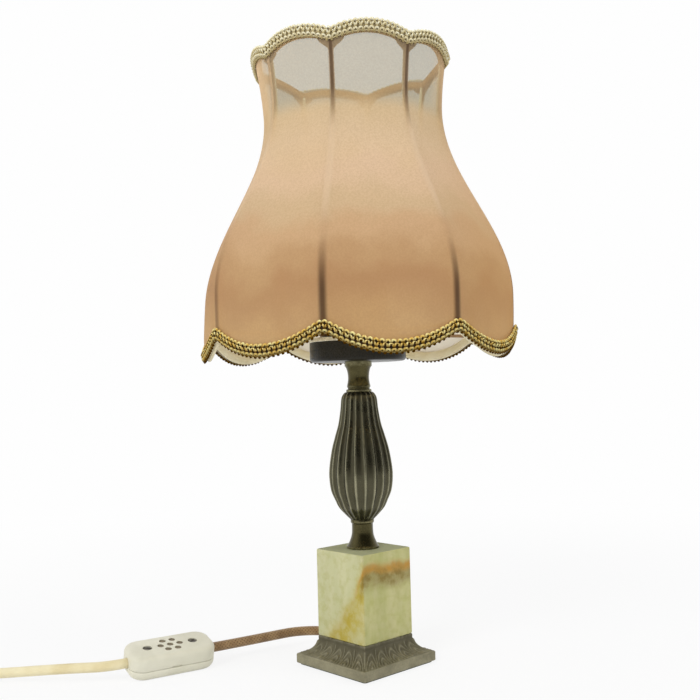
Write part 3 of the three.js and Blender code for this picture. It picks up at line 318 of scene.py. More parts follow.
def rgb(*values):
    """A colour as a paint sample gives it, 0 to 255, in the linear values that a shader takes."""
    return tuple(v / 255 / 12.92 if v / 255 <= 0.04045 else ((v / 255 + 0.055) / 1.055) ** 2.4
                 for v in values)


print("mid grey in linear values:", round(rgb(128)[0], 3))

# %% Finishes, places and shaders
def new_finish(name):
    finish = bpy.data.materials.new(name)
    finish.use_nodes = True
    tree = finish.node_tree
    shader = next(n for n in tree.nodes if n.type == "BSDF_PRINCIPLED")
    return finish, tree, shader


def place_of(tree, which="Object", scale=1000.0):
    """Where a point of the surface is, in millimetres of the lamp's own axes or on its UV map."""
    where = add(tree, "ShaderNodeTexCoord").outputs[which]
    scaled = add(tree, "ShaderNodeVectorMath", operation="SCALE")
    tree.links.new(where, scaled.inputs[0])
    scaled.inputs["Scale"].default_value = scale
    return scaled.outputs[0]


def parts_of(tree, place):
    """The x, y and z of a place or a direction."""
    axes = add(tree, "ShaderNodeSeparateXYZ")
    tree.links.new(place, axes.inputs[0])
    return axes.outputs


def along_way(tree, place, way):
    """How far a place lies along a direction."""
    made = feed(tree, add(tree, "ShaderNodeVectorMath", operation="DOT_PRODUCT"), Vector=place)
    made.inputs[1].default_value = way
    return made.outputs["Value"]


def bump(tree, shader, height, distance, strength=1.0):
    made = feed(tree, add(tree, "ShaderNodeBump"), Height=height, Distance=distance, Strength=strength)
    tree.links.new(made.outputs[0], shader.inputs["Normal"])


def mix_shaders(tree, share, first, second):
    made = add(tree, "ShaderNodeMixShader")
    for socket, value in zip(made.inputs, (share, first.outputs[0], second.outputs[0])):
        put_in(tree, socket, value)
    return made


def show(tree, shader):
    """Makes a shader the surface of its material."""
    output = next(n for n in tree.nodes if n.type == "OUTPUT_MATERIAL")
    tree.links.new(shader.outputs[0], output.inputs["Surface"])


print("finish helpers ready")

# %% [markdown]
# ## Effects that several finishes share
# Cloudy colour, fine grain, rubbed edges, woven threads and twisted yarn each turn up on more than one
# piece, so each is a node group with named inputs, built once. A group gives out only colours and values,
# and the shader stays in the material, so that the finish can be exported.

# %% Effect helpers
def effect(name, inputs, outputs):
    tree = bpy.data.node_groups.new(name, "ShaderNodeTree")
    for label, kind, start in inputs:
        socket = tree.interface.new_socket(label, in_out="INPUT", socket_type=kind)
        if start is not None:
            socket.default_value = start
    for label, kind in outputs:
        tree.interface.new_socket(label, in_out="OUTPUT", socket_type=kind)
    return tree, add(tree, "NodeGroupInput").outputs, add(tree, "NodeGroupOutput").inputs


def grain_noise(tree, where, scale, detail, rough=0.55):
    return feed(tree, add(tree, "ShaderNodeTexNoise"), Vector=where, Scale=scale, Detail=detail,
                Roughness=rough).outputs[0]


VALUE, COLOUR, PLACE = "NodeSocketFloat", "NodeSocketColor", "NodeSocketVector"
print("effect helpers ready")

# %% Clouds and grain
# Clouds of one colour in another
cloudy, get, put = effect("Cloudy colour", [("Place", PLACE, None), ("Scale", VALUE, 0.05),
                                            ("Bite", VALUE, 0.2), ("Low", COLOUR, None),
                                            ("High", COLOUR, None)], [("Colour", COLOUR), ("Cloud", VALUE)])
cloud = span(cloudy, grain_noise(cloudy, get["Place"], get["Scale"], 4), minus(cloudy, 0.5, get["Bite"]),
             plus(cloudy, 0.5, get["Bite"]))
cloudy.links.new(blend(cloudy, cloud, get["Low"], get["High"]), put["Colour"])
cloudy.links.new(cloud, put["Cloud"])

# Small irregular grain, as a height and as a speckle
grainy, get, put = effect("Fine grain", [("Place", PLACE, None), ("Scale", VALUE, 2.0)],
                          [("Height", VALUE), ("Speckle", VALUE)])
fine = grain_noise(grainy, get["Place"], get["Scale"], 3, 0.7)
grainy.links.new(fine, put["Height"])
grainy.links.new(span(grainy, fine, 0.35, 0.65), put["Speckle"])
print("made:", cloudy.name, "and", grainy.name)

# %% Wear, threads and yarn
BARELY_SHARP = 0.505

# Edges rubbed by handling: sharp places, broken up by clouds
rubbed, get, put = effect("Rubbed edges", [("Place", PLACE, None), ("Scale", VALUE, 0.3),
                                           ("Reach", VALUE, 0.06)], [("Mask", VALUE)])
pointed = add(rubbed, "ShaderNodeNewGeometry").outputs["Pointiness"]
sharp = span(rubbed, pointed, BARELY_SHARP, plus(rubbed, BARELY_SHARP, get["Reach"]))
patches = span(rubbed, grain_noise(rubbed, get["Place"], get["Scale"], 3), 0.3, 0.6)
rubbed.links.new(times(rubbed, sharp, patches), put["Mask"])

# Threads crossing each other, from a place in millimetres on the cloth
woven, get, put = effect("Woven threads", [("Place", PLACE, None), ("Pitch", VALUE, 0.8)],
                         [("Height", VALUE), ("Open", VALUE)])
ways = []
for across in parts_of(woven, get["Place"])[:2]:
    turn = calc(woven, "DIVIDE", times(woven, across, math.pi), get["Pitch"])
    ways.append(calc(woven, "ABSOLUTE", calc(woven, "SINE", turn)))
woven.links.new(times(woven, plus(woven, *ways), 0.5), put["Height"])
woven.links.new(minus(woven, 1.0, calc(woven, "MAXIMUM", *ways)), put["Open"])

# Yarn laid round a core: slanting ridges from a place round and along the strand
laid, get, put = effect("Twisted yarn", [("Place", PLACE, None), ("Ridges", VALUE, 2.0), ("Pitch", VALUE, 1.2)],
                        [("Height", VALUE)])
round_it, along_it, _ = parts_of(laid, get["Place"])
slant = plus(laid, times(laid, round_it, get["Ridges"]), calc(laid, "DIVIDE", along_it, get["Pitch"]))
laid.links.new(calc(laid, "ABSOLUTE", calc(laid, "SINE", times(laid, slant, math.pi))), put["Height"])


def use(tree, group, **inputs):
    made = add(tree, "ShaderNodeGroup", node_tree=group)
    colours = {k: (*v, 1) if isinstance(v, tuple) and len(v) == 3 else v for k, v in inputs.items()}
    return feed(tree, made, **colours).outputs


print("effects:", ", ".join(g.name for g in bpy.data.node_groups))

# %% [markdown]
# ## The cord's route
# The lead leaves the plinth behind the lamp through a tapered rubber sleeve, makes one wide turn and runs
# to a rocker switch, which lies rolled onto an edge of its round underside. Past the switch a cream lead
# goes on to the plug. A cord can be drawn by hand as a curve object, but a mains lead doesn't like to
# bend tighter than about four times its thickness. Laying it out as runs with a length and an angle, as
# on a drawing, keeps every bend wide.

# %% Runs and bends of a lead
CORD_R, CORD_BEND, CORD_IN_SWITCH, ROUTE_STEP = 3.0, 29.5, 7, 4.0
EXIT_X, EXIT_Y, EXIT_Z, SLEEVE_END = 9.5, 13.5, 10.6, 33.5
SWITCH_TURN, SWITCH_LONG, SWITCH_REACH = -11.0, 54.5, 80.8
SWITCH_SIDE, SWITCH_HULL, SWITCH_ROLL = 13.0, 4.5, math.radians(13)
WALL_STRAIGHT, WALL_TURN, WALL_RUN = 10, 38, 100
CORD_LEVEL, COIL_LOW = 8.1, 4.4
CORD_HIGH = CORD_LEVEL * math.cos(SWITCH_ROLL) + (SWITCH_SIDE - SWITCH_HULL) * math.sin(SWITCH_ROLL)


def heading(degrees):
    return Vector((math.cos(math.radians(degrees)), math.sin(math.radians(degrees)), 0))


LAMP_TURN = 90 + SWITCH_TURN
SWITCH_AT = (Vector((EXIT_X - CORD_BEND, SLEEVE_END + 1, 0)) + heading(LAMP_TURN) * CORD_BEND
             + heading(90 + LAMP_TURN) * SWITCH_REACH)


def ease(value, low, high):
    t = min(1.0, max(0.0, (value - low) / (high - low)))
    return t * t * (3 - 2 * t)


def laid_route(start, way, runs, level):
    total = sum(length for length, _ in runs)
    x, y, way, done = start[0], start[1], math.radians(way), 0.0
    points = [Vector((x, y, level(0, total)))]
    for length, angle in runs:
        steps = max(1, round(length / ROUTE_STEP))
        for _ in range(steps):
            bend = math.radians(angle) / steps
            x += length / steps * math.cos(way + bend / 2)
            y += length / steps * math.sin(way + bend / 2)
            way += bend
            done += length / steps
            points.append(Vector((x, y, level(done, total))))
    return points


print("switch at", [round(x, 1) for x in SWITCH_AT], "mm")

# %% Lead routes
def in_switch(x, y, z):
    """A place in the switch's own axes, which are rolled about the lead's line."""
    rolled = Matrix.Rotation(SWITCH_ROLL, 3, "X") @ Vector((x, y, z - CORD_LEVEL))
    turned_to = Matrix.Rotation(math.radians(SWITCH_TURN), 3, "Z")
    return turned_to @ (rolled + Vector((0, 0, CORD_HIGH))) + SWITCH_AT


def lamp_lead():
    out = SLEEVE_END + 1 - EXIT_Y
    runs = [(out, 0), (CORD_BEND * math.radians(LAMP_TURN), LAMP_TURN),
            (SWITCH_REACH - SWITCH_LONG / 2 + CORD_IN_SWITCH, 0)]

    def level(done, total):
        return EXIT_Z + ease(done, out, total - 10) * (CORD_HIGH - EXIT_Z)

    return laid_route((EXIT_X, EXIT_Y), 90, runs, level)


def wall_lead():
    runs = [(WALL_STRAIGHT, 0), (CORD_BEND * math.radians(WALL_TURN), -WALL_TURN), (WALL_RUN, 0)]

    def level(done, total):
        return CORD_HIGH - ease(done, WALL_STRAIGHT, total - 6) * (CORD_HIGH - COIL_LOW)

    start = in_switch(CORD_IN_SWITCH - SWITCH_LONG / 2, 0, CORD_LEVEL)
    return laid_route(start, 180 + SWITCH_TURN, runs, level)


print("lamp side", len(lamp_lead()), "points, wall side", len(wall_lead()), "points")

# %% [markdown]
# The photograph shows the cream lead only to the edge of the picture. A lamp of this kind has about 1.8
# metres of it, so the rest is put away in a tied coil just past that edge: it spirals in on the table,
# climbs a layer in half a turn, and spirals out again to the plug.

# %% Coil of spare lead
COIL_OUT, COIL_STEP, COIL_LAYER, TURNS_IN, TURNS_OUT = 47.5, 6.7, 6.8, 3.5, 3.4
PER_TURN, LEAD_IN, TAIL, TAIL_STEPS, PLUG_LEVEL = 36, 6.3, 90, 18, 7.0


def coil_lead(start):
    first = 180 + SWITCH_TURN - WALL_TURN
    along = heading(first)
    touch = start + along * LEAD_IN
    centre = Vector((touch.x - COIL_OUT * along.y, touch.y + COIL_OUT * along.x, 0))
    inner = COIL_OUT - COIL_STEP * (TURNS_IN + 0.25)
    turns = TURNS_IN + 0.5 + TURNS_OUT
    count = round(turns * PER_TURN)
    out = [start + along * LEAD_IN * share for share in (1 / 3, 2 / 3)]
    for i in range(count + 1):
        t = turns * i / count
        r = inner + COIL_STEP * abs(t - TURNS_IN - 0.25)
        a = math.radians(first - 90) + TAU * t
        out.append(centre + Vector((r * math.cos(a), r * math.sin(a),
                                    COIL_LOW + COIL_LAYER * ease(t, TURNS_IN, TURNS_IN + 0.5))))
    way = out[-1] - out[-2]
    way.z = 0
    way.normalize()
    top = out[-1].copy()
    for i in range(1, TAIL_STEPS + 1):
        s = TAIL * i / TAIL_STEPS
        out.append(top + way * s + Vector((0, 0, -(top.z - PLUG_LEVEL) * ease(s, 25.2, 65))))
    return out, centre, way


coil_points, coil_centre, plug_way = coil_lead(wall_lead()[-1])
coil_long = run_length([p * MM for p in coil_points])[-1]
print("coil", round(coil_long, 3), "m, centre", [round(x, 1) for x in coil_centre])

# %% [markdown]
# ## Finishes of the lead
# On the lamp's side the lead has an old woven sleeve in golden brown, and past the switch it is plain
# cream plastic. The weave is two sets of yarn laid round the core in opposite ways, and the plastic has a
# faint yellowing and a fine skin.

# %% Lead finishes
def woven_lead_finish():
    finish, tree, shader = new_finish("lead_woven_brown")
    on_cord = place_of(tree, "UV", 1.0)
    one = use(tree, laid, Place=on_cord, Ridges=8.0, Pitch=2.4)["Height"]
    other = use(tree, laid, Place=on_cord, Ridges=-8.0, Pitch=2.4)["Height"]
    yarn = calc(tree, "MAXIMUM", one, other)
    tone = use(tree, cloudy, Place=place_of(tree), Scale=0.12, Bite=0.22,
               Low=rgb(132, 100, 64), High=rgb(174, 142, 100))
    dark = blend(tree, span(tree, yarn, 0.35, 0.95), rgb(94, 70, 44), tone["Colour"])
    fuzz = use(tree, grainy, Place=place_of(tree), Scale=2.2)["Speckle"]
    feed(tree, shader, Base_Color=blend(tree, times(tree, fuzz, 0.25), dark, rgb(198, 168, 126)))
    shader.inputs["Roughness"].default_value = 0.8
    shader.inputs["Sheen Weight"].default_value = 0.25
    bump(tree, shader, yarn, 0.00035, 0.8)
    return finish


def plastic_finish(name, low, high, rough=0.42, scale=0.05, sunk_shade=None):
    finish, tree, shader = new_finish(name)
    colour = use(tree, cloudy, Place=place_of(tree), Scale=scale, Bite=0.25, Low=low, High=high)["Colour"]
    skin_grain = use(tree, grainy, Place=place_of(tree), Scale=1.6)
    # An optional colour paints shade into the points marked as sunk.
    if sunk_shade:
        sunk = add(tree, "ShaderNodeAttribute", attribute_name="sunk").outputs["Fac"]
        colour = blend(tree, span(tree, sunk, 0.1, 0.9, 0.0, 0.85), colour, sunk_shade)
    feed(tree, shader, Base_Color=colour,
         Roughness=span(tree, skin_grain["Speckle"], 0, 1, rough - 0.07, rough + 0.1))
    bump(tree, shader, skin_grain["Height"], 0.00008, 0.5)
    return finish


brown_weave = woven_lead_finish()
cream_plastic = plastic_finish("lead_cream_plastic", rgb(222, 206, 158), rgb(240, 230, 192), 0.38)
print("lead finishes:", brown_weave.name, cream_plastic.name)

# %% Lay the leads
def lay_lead(name, path, sides, finish, stands_for, slot):
    points, faces, corners = tube(path, CORD_R * MM, sides)
    return make_piece(name, points, faces, finish, "lamp", stands_for, slot, corners)


lamp_path = [p * MM for p in lamp_lead()]
wall_path = [p * MM for p in wall_lead() + coil_points]
brown_lead = lay_lead("lead_lamp_side", lamp_path, 14, brown_weave, ["cord_lamp_side"], "cord_gold")
cream_lead = lay_lead("lead_wall_side", wall_path, 12, cream_plastic, ["cord_wall_side", "cord_coil"],
                      "cord_cream")
print("leads:", round(run_length(lamp_path)[-1], 3), "m and", round(run_length(wall_path)[-1], 3), "m")

# %% [markdown]
# ## The switch on the lead
# The switch is two moulded ivory shells held by two sunk screws, with a rosette of shallow dimples on its
# top. Shells like these could be modelled by hand with bevels, but a rounded plan lofted upwards gives
# the soft top edge directly. The wells, the dimples and the hollow inside are then cut out with Boolean
# modifiers, as a mould core would leave them. The points in the wells and the dimples are marked, and
# the finish paints shade into them.

# %% Rounded plans, rods and marks
def rounded_plan(half_x, half_y, corner, steps=6):
    out = []
    for side_x, side_y, start in ((1, 1, 0), (-1, 1, 90), (-1, -1, 180), (1, -1, 270)):
        for k in range(steps + 1):
            a = math.radians(start + 90 * k / steps)
            out.append((side_x * (half_x - corner) + corner * math.cos(a),
                        side_y * (half_y - corner) + corner * math.sin(a)))
    return out


ROD_SIDES = 24


def rod_along(start, end, radius):
    return skin(tube_rings([start, start.lerp(end, 0.5), end], radius, ROD_SIDES), caps=True)


def mark(piece, name, values):
    layer = piece.data.attributes.new(name, "FLOAT", "POINT")
    layer.data.foreach_set("value", values)


print("plan, rod and mark helpers ready")

# %% Carving helper
def carved(name, solid, cutters, finish):
    def loose(label, part):
        mesh = bpy.data.meshes.new(label)
        mesh.from_pydata([tuple(p) for p in part[0]], [], part[1])
        made = bpy.data.objects.new(label, mesh)
        bpy.context.scene.collection.objects.link(made)
        return made

    piece = loose(name, solid)
    tools = [loose(name + "_cutter", cutter) for cutter in cutters]
    for tool in tools:
        cut = piece.modifiers.new("cut", "BOOLEAN")
        cut.operation, cut.solver, cut.object = "DIFFERENCE", "EXACT", tool
    shape = bpy.data.meshes.new_from_object(piece.evaluated_get(bpy.context.evaluated_depsgraph_get()))
    piece.modifiers.clear()
    piece.data = shape
    for tool in tools:
        bpy.data.objects.remove(tool)
    shape.polygons.foreach_set("use_smooth", [True] * len(shape.polygons))
    shape.set_sharp_from_angle(angle=math.radians(34))
    shape.materials.clear()
    shape.materials.append(finish)
    return piece


print("carving helper ready")

# %% Outline and cutters of the switch
SWITCH_HALF, SWITCH_CORNER = SWITCH_LONG / 2, 8.5
SWITCH_TOP, SWITCH_ROUND, OVER_TOP = 15.6, 3.0, 17
SHELL_WALL, SCREW_X, WELL_R, WELL_DEEP = 2.0, 14.7, 2.9, 1.4
DIMPLE_RING, DIMPLE_R, DIMPLE_DEEP = 6.2, 2.1, 0.9
LEAD_HOLE_R, LEAD_HOLE_ENDS = 3.3, (20, 31)


def switch_loft(rows):
    return skin([[in_switch(x, y, z) * MM for x, y in rounded_plan(SWITCH_HALF - inset, SWITCH_SIDE - inset,
                                                                   max(1.0, SWITCH_CORNER - 0.6 * inset), 8)]
                 for inset, z in rows], caps=True)


def switch_rod(x, y, low, high, radius):
    return rod_along(in_switch(x, y, low) * MM, in_switch(x, y, high) * MM, radius * MM)


def quarter_turn():
    return [heading(15 * k) for k in range(7)]


# The wells and dimples of the switch get painted shade in this brown.
ivory = plastic_finish("switch_ivory", rgb(212, 209, 188), rgb(229, 226, 208), 0.4, 0.04,
                       sunk_shade=rgb(112, 96, 74))
cord_ways = [rod_along(*(in_switch(s * x, 0, CORD_LEVEL) * MM for x in LEAD_HOLE_ENDS), LEAD_HOLE_R * MM)
             for s in (-1, 1)]
dimple_places = [(heading(60 * k) * DIMPLE_RING).xy for k in range(6)] + [(0, 0)]
dimples = [switch_rod(*place, SWITCH_TOP - DIMPLE_DEEP, OVER_TOP, DIMPLE_R) for place in dimple_places]
wells = [switch_rod(s * SCREW_X, 0, SWITCH_TOP - WELL_DEEP, OVER_TOP, WELL_R) for s in (-1, 1)]
print("cutters:", len(cord_ways), "lead holes,", len(dimples), "dimples,", len(wells), "wells")

# %% Upper shell
# How far in the painted shade of the wells and dimples reaches.
SUNK_SHADE_DEPTHS, SUNK_SHADE_SIDE, SUNK_SHADE_LONG = (0.5, 2), 9.5, 20
top_hollow = switch_loft([(SHELL_WALL, 5), (SHELL_WALL, 13.4)])
notch = skin([[in_switch(x, y, z) * MM for x, y in ((-3, -14), (3, -14), (3, -12.4), (-3, -12.4))]
              for z in (6, 7.9)], caps=True)
top_edge_rows = [(SWITCH_ROUND * (1 - way.x), SWITCH_TOP - SWITCH_ROUND * (1 - way.y))
                 for way in quarter_turn()]
top_shell = carved("switch_top_shell", switch_loft([(0.12, 6.8), (0, 7.1), *top_edge_rows]),
                   [top_hollow, notch, *cord_ways, *wells, *dimples], ivory)
switch_foot = in_switch(0, 0, 0)
long_way, side_way, top_way = (in_switch(*axis) - switch_foot for axis in ((1, 0, 0), (0, 1, 0), (0, 0, 1)))


# Points in the wells and dimples, which get painted shade.
def in_sunk_shade(place):
    from_foot = place / MM - switch_foot
    return (SUNK_SHADE_DEPTHS[0] < SWITCH_TOP - from_foot.dot(top_way) < SUNK_SHADE_DEPTHS[1]
            and abs(from_foot.dot(side_way)) < SUNK_SHADE_SIDE and abs(from_foot.dot(long_way)) < SUNK_SHADE_LONG)


mark(top_shell, "sunk", [float(in_sunk_shade(v.co)) for v in top_shell.data.vertices])
settle(top_shell, "lamp", ["switch_upper_shell"], "switch_ivory")
print("upper shell:", len(top_shell.data.polygons), "faces")

# %% Lower shell
WINDOW = (8.1, 5.1, 1.0)
window = skin([[in_switch(x, y, z) * MM for x, y in rounded_plan(*WINDOW)] for z in (-1, 3)], caps=True)
hull_rows = [(SWITCH_HULL * (1 - way.y), SWITCH_HULL * (1 - way.x)) for way in quarter_turn()]
low_hollow = switch_loft([(SHELL_WALL + SWITCH_HULL / 4, 2), (SHELL_WALL, SWITCH_HULL), (SHELL_WALL, 8)])
low_shell = carved("switch_bottom_shell", switch_loft([*hull_rows, (0, 6.2), (0.12, 6.5)]),
                   [low_hollow, window, *cord_ways], ivory)
settle(low_shell, "lamp", ["switch_lower_shell"], "switch_ivory")
print("lower shell:", len(low_shell.data.polygons), "faces")

# %% [markdown]
# ## Sleeve, plug and tie
# A lead is held where it enters something by a tapered sleeve with grooves, which lets it bend little by
# little. The sleeve and the grip of the plug are turned rings placed along the lead; the flat plug is a
# loft of rounded sections.

# %% Sleeve at the plinth
SLEEVE_SIDES, BORE_R = 24, 3.05


def sleeve(start, ahead, rows):
    side = ahead.orthogonal().normalized()
    up = ahead.cross(side)
    turns = [TAU * k / SLEEVE_SIDES for k in range(SLEEVE_SIDES)]
    return [[start + (ahead * x + side * r * math.cos(a) + up * r * math.sin(a)) * MM for a in turns]
            for x, r in rows]


def grooved(long, wide, narrow, grooves, plain=0.0):
    rows = [(0, BORE_R), (0, wide - 0.3), (0.3, wide)]
    count = grooves * 8
    for i in range(count + 1):
        s = i / count
        rows.append((max(0.4, plain) + (long - 0.4 - max(0.4, plain)) * s,
                     wide + (narrow - wide) * s - 0.4 * ease(math.sin(TAU * grooves * s - 1.2), 0.2, 0.9)))
    return rows + [(long, narrow - 0.35), (long, BORE_R)]


SLEEVE_START = 13
rubber = plastic_finish("sleeve_rubber", rgb(96, 68, 42), rgb(122, 90, 58), 0.55)
sleeve_rings = sleeve(Vector((EXIT_X, SLEEVE_START, EXIT_Z)) * MM, Vector((0, 1, 0)),
                      grooved(SLEEVE_END - SLEEVE_START, 4.4, 3.75, 4, 9))
bush = make_piece("lead_sleeve", *skin(sleeve_rings)[:2], rubber, "lamp", ["cord_bush"], "bush_rubber")
print("sleeve:", len(bush.data.vertices), "points")

# %% Plug and tie
plug_end = wall_path[-1]
plug_side = Vector((-plug_way.y, plug_way.x, 0))


def plug_section(x, half_w, half_h):
    plan = rounded_plan(half_w, half_h, min(half_w, half_h) * 0.62, 5)
    return [plug_end + (plug_way * x + plug_side * y + Vector((0, 0, z))) * MM for y, z in plan]


GRIP_LONG = 22
PLUG_ROWS = [(0.3, 5.2, 4.1), (0.9, 5.9, 4.7), (6, 6.2, 4.85), (11.9, 7, 5.1), (17, 9.8, 5.9),
             (21.5, 12.4, 6.65), (24.5, 13, 6.8), (32.6, 13, 6.8), (33.6, 12.6, 6.4), (34, 11.8, 5.6)]
plug = make_piece("plug", *skin([plug_section(*row) for row in PLUG_ROWS], caps=True)[:2], cream_plastic,
                  "lamp", ["plug_body"], "plug_plastic")
grip_rows = [(GRIP_LONG - x, r) for x, r in reversed(grooved(GRIP_LONG, 4.6, 3.9, 6))]
grip = make_piece("plug_grip", *skin(sleeve(plug_end - plug_way * GRIP_LONG * MM, plug_way, grip_rows))[:2],
                  cream_plastic, "lamp", ["plug_relief"], "plug_plastic")
TIE_TURN, TIE_REACH, TIE_HALF_HIGH, TIE_MIDDLE = math.radians(316), 3.55, 7.15, 7.8


def tie_strap():
    out = Vector((math.cos(TIE_TURN), math.sin(TIE_TURN), 0))
    across = Vector((-out.y, out.x, 0))
    turns = [p - coil_centre for p in coil_points]
    reach = [d.dot(out) for d in turns if abs(d.dot(across)) < 4 and 0 < d.dot(out) < COIL_OUT + 1]
    low, high = min(reach) - TIE_REACH, max(reach) + TIE_REACH
    plan = rounded_plan((high - low) / 2, TIE_HALF_HIGH, 3.0, 6)
    loop = [(x + (high + low) / 2, z + TIE_MIDDLE) for x, z in plan]
    rings = []
    for i, (x, z) in enumerate(loop):
        (xa, za), (xb, zb) = loop[i - 1], loop[(i + 1) % len(loop)]
        way = Vector((xb - xa, zb - za)).normalized()
        rings.append([(coil_centre + out * (x + way.y * d) + across * w + Vector((0, 0, z - way.x * d))) * MM
                      for w, d in rounded_plan(2.0, 0.4, 0.3, 3)])
    return skin(rings, along=True)


tie_black = plastic_finish("tie_black", rgb(34, 33, 32), rgb(48, 46, 44), 0.5)
tie = make_piece("coil_strap", *tie_strap()[:2], tie_black, "lamp", ["coil_tie"], "tie")
print("points: plug", len(plug.data.vertices), "grip", len(grip.data.vertices), "strap", len(tie.data.vertices))

# %% [markdown]
# The brown lead ends in the switch; the cream one starts there and ends in the plug.

tuple(lamp_path[0])
round(run_length(lamp_path)[-1], 3)
[tuple(p) for p in lamp_path]
tuple(wall_path[0])
round(run_length(wall_path)[-1], 3)
[tuple(p) for p in wall_path]

# %% [markdown]
# ## Cast plinth
# The plinth is a thin casting, browned with age and rubbed paler where hands touch it. Its hollow
# moulding carries a row of nested arches, an old and common pattern. A relief like this could be sculpted
# or baked, but it repeats, so it is written as a height over the moulding and each point moves out along
# the moulding's own direction.

# %% Relief of nested arches
ARCHES = 5


def arch_relief(share, rise):
    """Height of the relief, 0 to 1, from a place across one side (-1 to 1) and up its moulding (0 to 1)."""
    x = (share * ARCHES / 2 + 0.5) % 1 * 2 - 1
    reach = math.hypot(x, (rise - 0.1) * 1.15)
    arches = sum(math.exp(-((reach - r) / 0.085) ** 2) for r in (0.42, 0.78))
    boss = 1 - ease(reach, 0.1, 0.26)
    leaf = math.exp(-((abs(x) - 1) / 0.09) ** 2) * ease(rise, 0.15, 0.4)
    return min(1.0, arches + boss + leaf) * ease(rise, 0.0, 0.07) * (1 - ease(rise, 0.9, 1.0))


def square_ring(half, z, corner=0.5, per_side=8, push=None):
    out = []
    for k in range(4):
        face = Vector((math.cos(k * math.pi / 2), math.sin(k * math.pi / 2), 0))
        side = Vector((-face.y, face.x, 0))
        shares = [(-1 + 2 * i / per_side) * (1 - corner / half) for i in range(per_side + 1)]
        for share in shares:
            wide, up = push(share) if push else (0.0, 0.0)
            out.append((face * (half + wide) + side * share * half + Vector((0, 0, z + up))) * MM)
        wide, up = push(1.0) if push else (0.0, 0.0)
        for b in (math.radians(22.5 * n) for n in (1, 2, 3)):
            out.append((face * (half + wide - corner + corner * math.cos(b))
                        + side * (half + wide - corner + corner * math.sin(b)) + Vector((0, 0, z + up))) * MM)
    return out


print("relief on the crown of an arch:", round(arch_relief(0.0, 0.78), 2))

# %% [markdown]
# The metal finish serves the plinth and the stem: a browned base with clouds, paler metal on whatever
# stands proud, and dark in the hollows. What stands proud is known from the relief itself, so each point
# carries that value with it. On the stem the paler ridges are partly wear and partly a painted highlight.
# On the plinth the same value also paints shade on the collar under the onyx and towards the top of the
# moulding.

# %% Metal finishes
def metal_finish(name, hollow, ground, proud, metal, rough, marked=True, proud_share=0.9):
    finish, tree, shader = new_finish(name)
    here = place_of(tree)
    tone = use(tree, cloudy, Place=here, Scale=0.12, Bite=0.24,
               Low=tuple(c * 0.72 for c in ground), High=ground)
    worn = use(tree, rubbed, Place=here, Scale=0.35, Reach=0.09)["Mask"]
    speck = use(tree, grainy, Place=here, Scale=1.3)
    colour = tone["Colour"]
    if marked:
        relief_and_shade = add(tree, "ShaderNodeAttribute", attribute_name="relief_and_shade").outputs["Fac"]
        colour = blend(tree, span(tree, relief_and_shade, 0.0, 0.45), hollow, colour)
        worn = calc(tree, "MAXIMUM", worn, span(tree, relief_and_shade, 0.62, 1.0, 0.0, proud_share))
    colour = blend(tree, worn, colour, proud)
    colour = blend(tree, times(tree, speck["Speckle"], 0.18), colour, hollow)
    feed(tree, shader, Base_Color=colour,
         Roughness=span(tree, tone["Cloud"], 0, 1, rough + 0.1, rough - 0.06))
    shader.inputs["Metallic"].default_value = metal
    bump(tree, shader, speck["Height"], 0.00012, 0.35)
    return finish


plinth_metal = metal_finish("plinth_bronze", rgb(80, 75, 54), rgb(150, 144, 116), rgb(168, 162, 136),
                            0.45, 0.5, proud_share=0.25)
stem_metal = metal_finish("stem_bronze", rgb(80, 77, 60), rgb(124, 121, 97), rgb(192, 187, 158),
                          0.9, 0.28, proud_share=0.5)
turned_brass = metal_finish("turned_brass", rgb(50, 44, 27), rgb(88, 82, 52), rgb(146, 140, 106),
                            0.9, 0.22, marked=False)
print("metals:", plinth_metal.name, stem_metal.name, turned_brass.name)

# %% Plinth
SLAB, LIP, COLLAR = 31.0, 30.2, 21.0
LIP_Z, HOLLOW_HIGH, PLINTH_TOP = 7.0, 8.5, 18.0
RELIEF, PER_SIDE, HOLLOW_STEPS = 0.75, 108, 34
SLAB_ROWS = [(SLAB - 0.5, 1.0), (SLAB - 0.1, 1.25), (SLAB, 1.7), (SLAB, 6.2),
             (SLAB - 0.15, 6.7), (SLAB - 0.5, 6.95)]
COLLAR_ROWS = [(COLLAR, 15.9), (COLLAR, PLINTH_TOP - 0.4), (COLLAR - 0.3, PLINTH_TOP)]


def plinth_rings():
    """Rings of the plinth from below, and each point's relief for the finish, with painted shade under the
    onyx.
    """
    rings = [square_ring(half, z, per_side=PER_SIDE) for half, z in SLAB_ROWS]
    relief_and_shade = [0.55] * sum(len(ring) for ring in rings)
    shares = [-1 + 2 * i / PER_SIDE for i in range(PER_SIDE + 1)] + [1.0] * 3
    for n in range(HOLLOW_STEPS + 1):
        rise = n / HOLLOW_STEPS
        a = rise * math.pi / 2
        half, z = COLLAR + (LIP - COLLAR) * (1 - math.sin(a)), LIP_Z + HOLLOW_HIGH * (1 - math.cos(a))
        out = Vector((HOLLOW_HIGH * math.sin(a), (LIP - COLLAR) * math.cos(a))).normalized()
        rings.append(square_ring(half, z, per_side=PER_SIDE,
                                 push=lambda share: tuple(out * RELIEF * arch_relief(share, rise))))
        # The moulding is set darker towards its top, under the onyx: painted shade.
        relief_and_shade += [0.13 + 0.13 * arch_relief(share, rise) + 0.14 * (1 - rise) for share in shares] * 4
    for half, z in COLLAR_ROWS:
        rings.append(square_ring(half, z, per_side=PER_SIDE))
        # The collar under the onyx is set dark: painted shade.
        relief_and_shade += [0.08] * len(rings[-1])
    return rings, relief_and_shade


def keep_flats(piece):
    piece.modifiers.new("flat faces", "WEIGHTED_NORMAL").keep_sharp = True
    return piece


